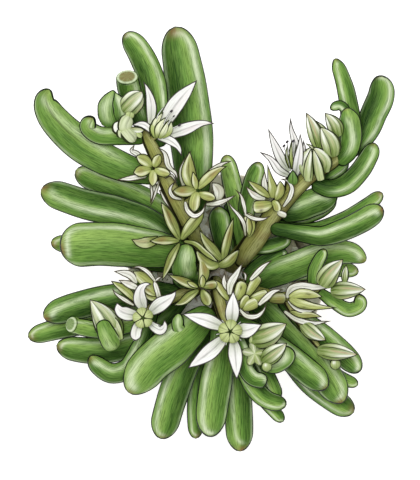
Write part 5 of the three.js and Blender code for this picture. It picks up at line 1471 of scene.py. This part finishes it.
def make_soil():
    """Crumbly soil, dished a little, with pale grit on it."""
    top = [(radius, SOIL_TOP + SOIL_DISH * (1 - (radius / SOIL_REACH) ** 2))
           for radius in np.linspace(SOIL_REACH, 0.25, 26)]
    bottom = POT_FLOOR + SOIL_CLEARANCE
    outline = [(0, bottom), (FOOT_RADIUS - WALL - SOIL_CLEARANCE, bottom),
               (SOIL_REACH, POT_HEIGHT - RIM_DEPTH), *top, (0, SOIL_TOP + SOIL_DISH)]
    piece = turned("soil_bed", outline, soil_material(), 96)
    lumps = random.Random(SEED + 1)
    waves = [(lumps.uniform(-900, 900), lumps.uniform(-900, 900), lumps.uniform(0, 6)) for _ in range(LUMP_WAVES)]
    for vertex in piece.data.vertices:
        if vertex.co.z > (SOIL_TOP - 0.2) * MM:
            sway = sum(math.sin(vertex.co.x * a + vertex.co.y * b + c) for a, b, c in waves) / LUMP_WAVES
            vertex.co.z += sway * LUMP_HEIGHT * MM
    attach(piece, "root")
    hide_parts("soil")
    stones = bmesh.new()
    grains = random.Random(SEED + 2)
    for _ in range(STONES):
        radius = SOIL_REACH * 0.97 * math.sqrt(grains.random())
        angle = grains.uniform(0, 2 * math.pi)
        size = grains.uniform(*STONE_SIZES) * MM
        made = bmesh.ops.create_icosphere(stones, subdivisions=2, radius=size)
        stretch = Vector((grains.uniform(0.7, 1.3), grains.uniform(0.7, 1.2), grains.uniform(0.55, 0.9)))
        spot = Vector((math.cos(angle) * radius * MM, math.sin(angle) * radius * MM, (SOIL_TOP + 0.25) * MM))
        for vertex in made["verts"]:
            dent = 1 + grains.uniform(-0.12, 0.12)
            vertex.co = Vector(c * s for c, s in zip(vertex.co * dent, stretch)) + spot
    mesh = bpy.data.meshes.new("grit_stones")
    stones.to_mesh(mesh)
    stones.free()
    mesh.materials.append(grit_material())
    grit = put_in_scene("grit_stones", mesh)
    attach(grit, "root")


def make_floor():
    mesh = bpy.data.meshes.new("floor")
    corners = [(x * FLOOR_HALF, y * FLOOR_HALF, 0) for x, y in ((-1, -1), (1, -1), (1, 1), (-1, 1))]
    mesh.from_pydata(corners, [], [(0, 1, 2, 3)])
    material, n, shader = new_material("pale_floor")
    place = n.spot()
    tone = n.mix(n.noise(place, 30, 2), colour(246, 246, 244), colour(250, 250, 249))
    n.link(tone, shader.inputs["Base Color"])
    shader.inputs["Roughness"].default_value = 0.9
    shader.inputs["Emission Color"].default_value = (1, 1, 1, 1)
    shader.inputs["Emission Strength"].default_value = FLOOR_GLOW
    mesh.materials.append(material)
    floor = put_in_scene("floor", mesh)


bpy.context.scene.view_settings.view_transform = "Standard"
add_camera()
add_world()
add_lamp()
make_floor()
make_pot()
make_soil()
for name, shoot in SHOOTS.items():
    make_piece(f"stem_{name}", shoot["stems"], STEM_SKIN, [f"shoot_{name}"])
    make_piece(f"leaves_{name}", shoot["leaves"], LEAF_SKIN, [f"shoot_{name}"])
for name, bodies in FRUITS.items():
    make_piece(f"{name}_pods", bodies, UNRIPE_SKIN if name in UNRIPE else FRUIT_SKIN, [name])
for name, bodies in HUSKS.items():
    make_piece(f"{name}_petals", bodies, HUSK_SKIN, [name])
for name, bodies in PETALS.items():
    make_piece(f"{name}_petals", bodies, PETAL_SKIN, [name])
for name, bodies in GREEN_PODS.items():
    make_piece(f"{name}_green_pods", bodies, POD_SKIN, [f"{name}_middle"])
for name, bodies in THREADS.items():
    make_piece(f"{name}_threads", bodies, PETAL_SKIN, [])
for name, bodies in ANTHERS.items():
    make_piece(f"{name}_anthers", bodies, ANTHER_SKIN, [])
cup = [plump_pod([[8.2, 11.1, 35.9], [8.2, 12, 37], [8.2, 12.9, 37.3]], 1.5, pale_tip=0.1, up=(0, 0, 1))]
make_piece("flower_right_high_cup", cup, LEAF_SKIN, [])
for name, bodies in BUDS.items():
    make_piece(f"{name}_folds", bodies, BUD_SKIN, [name])
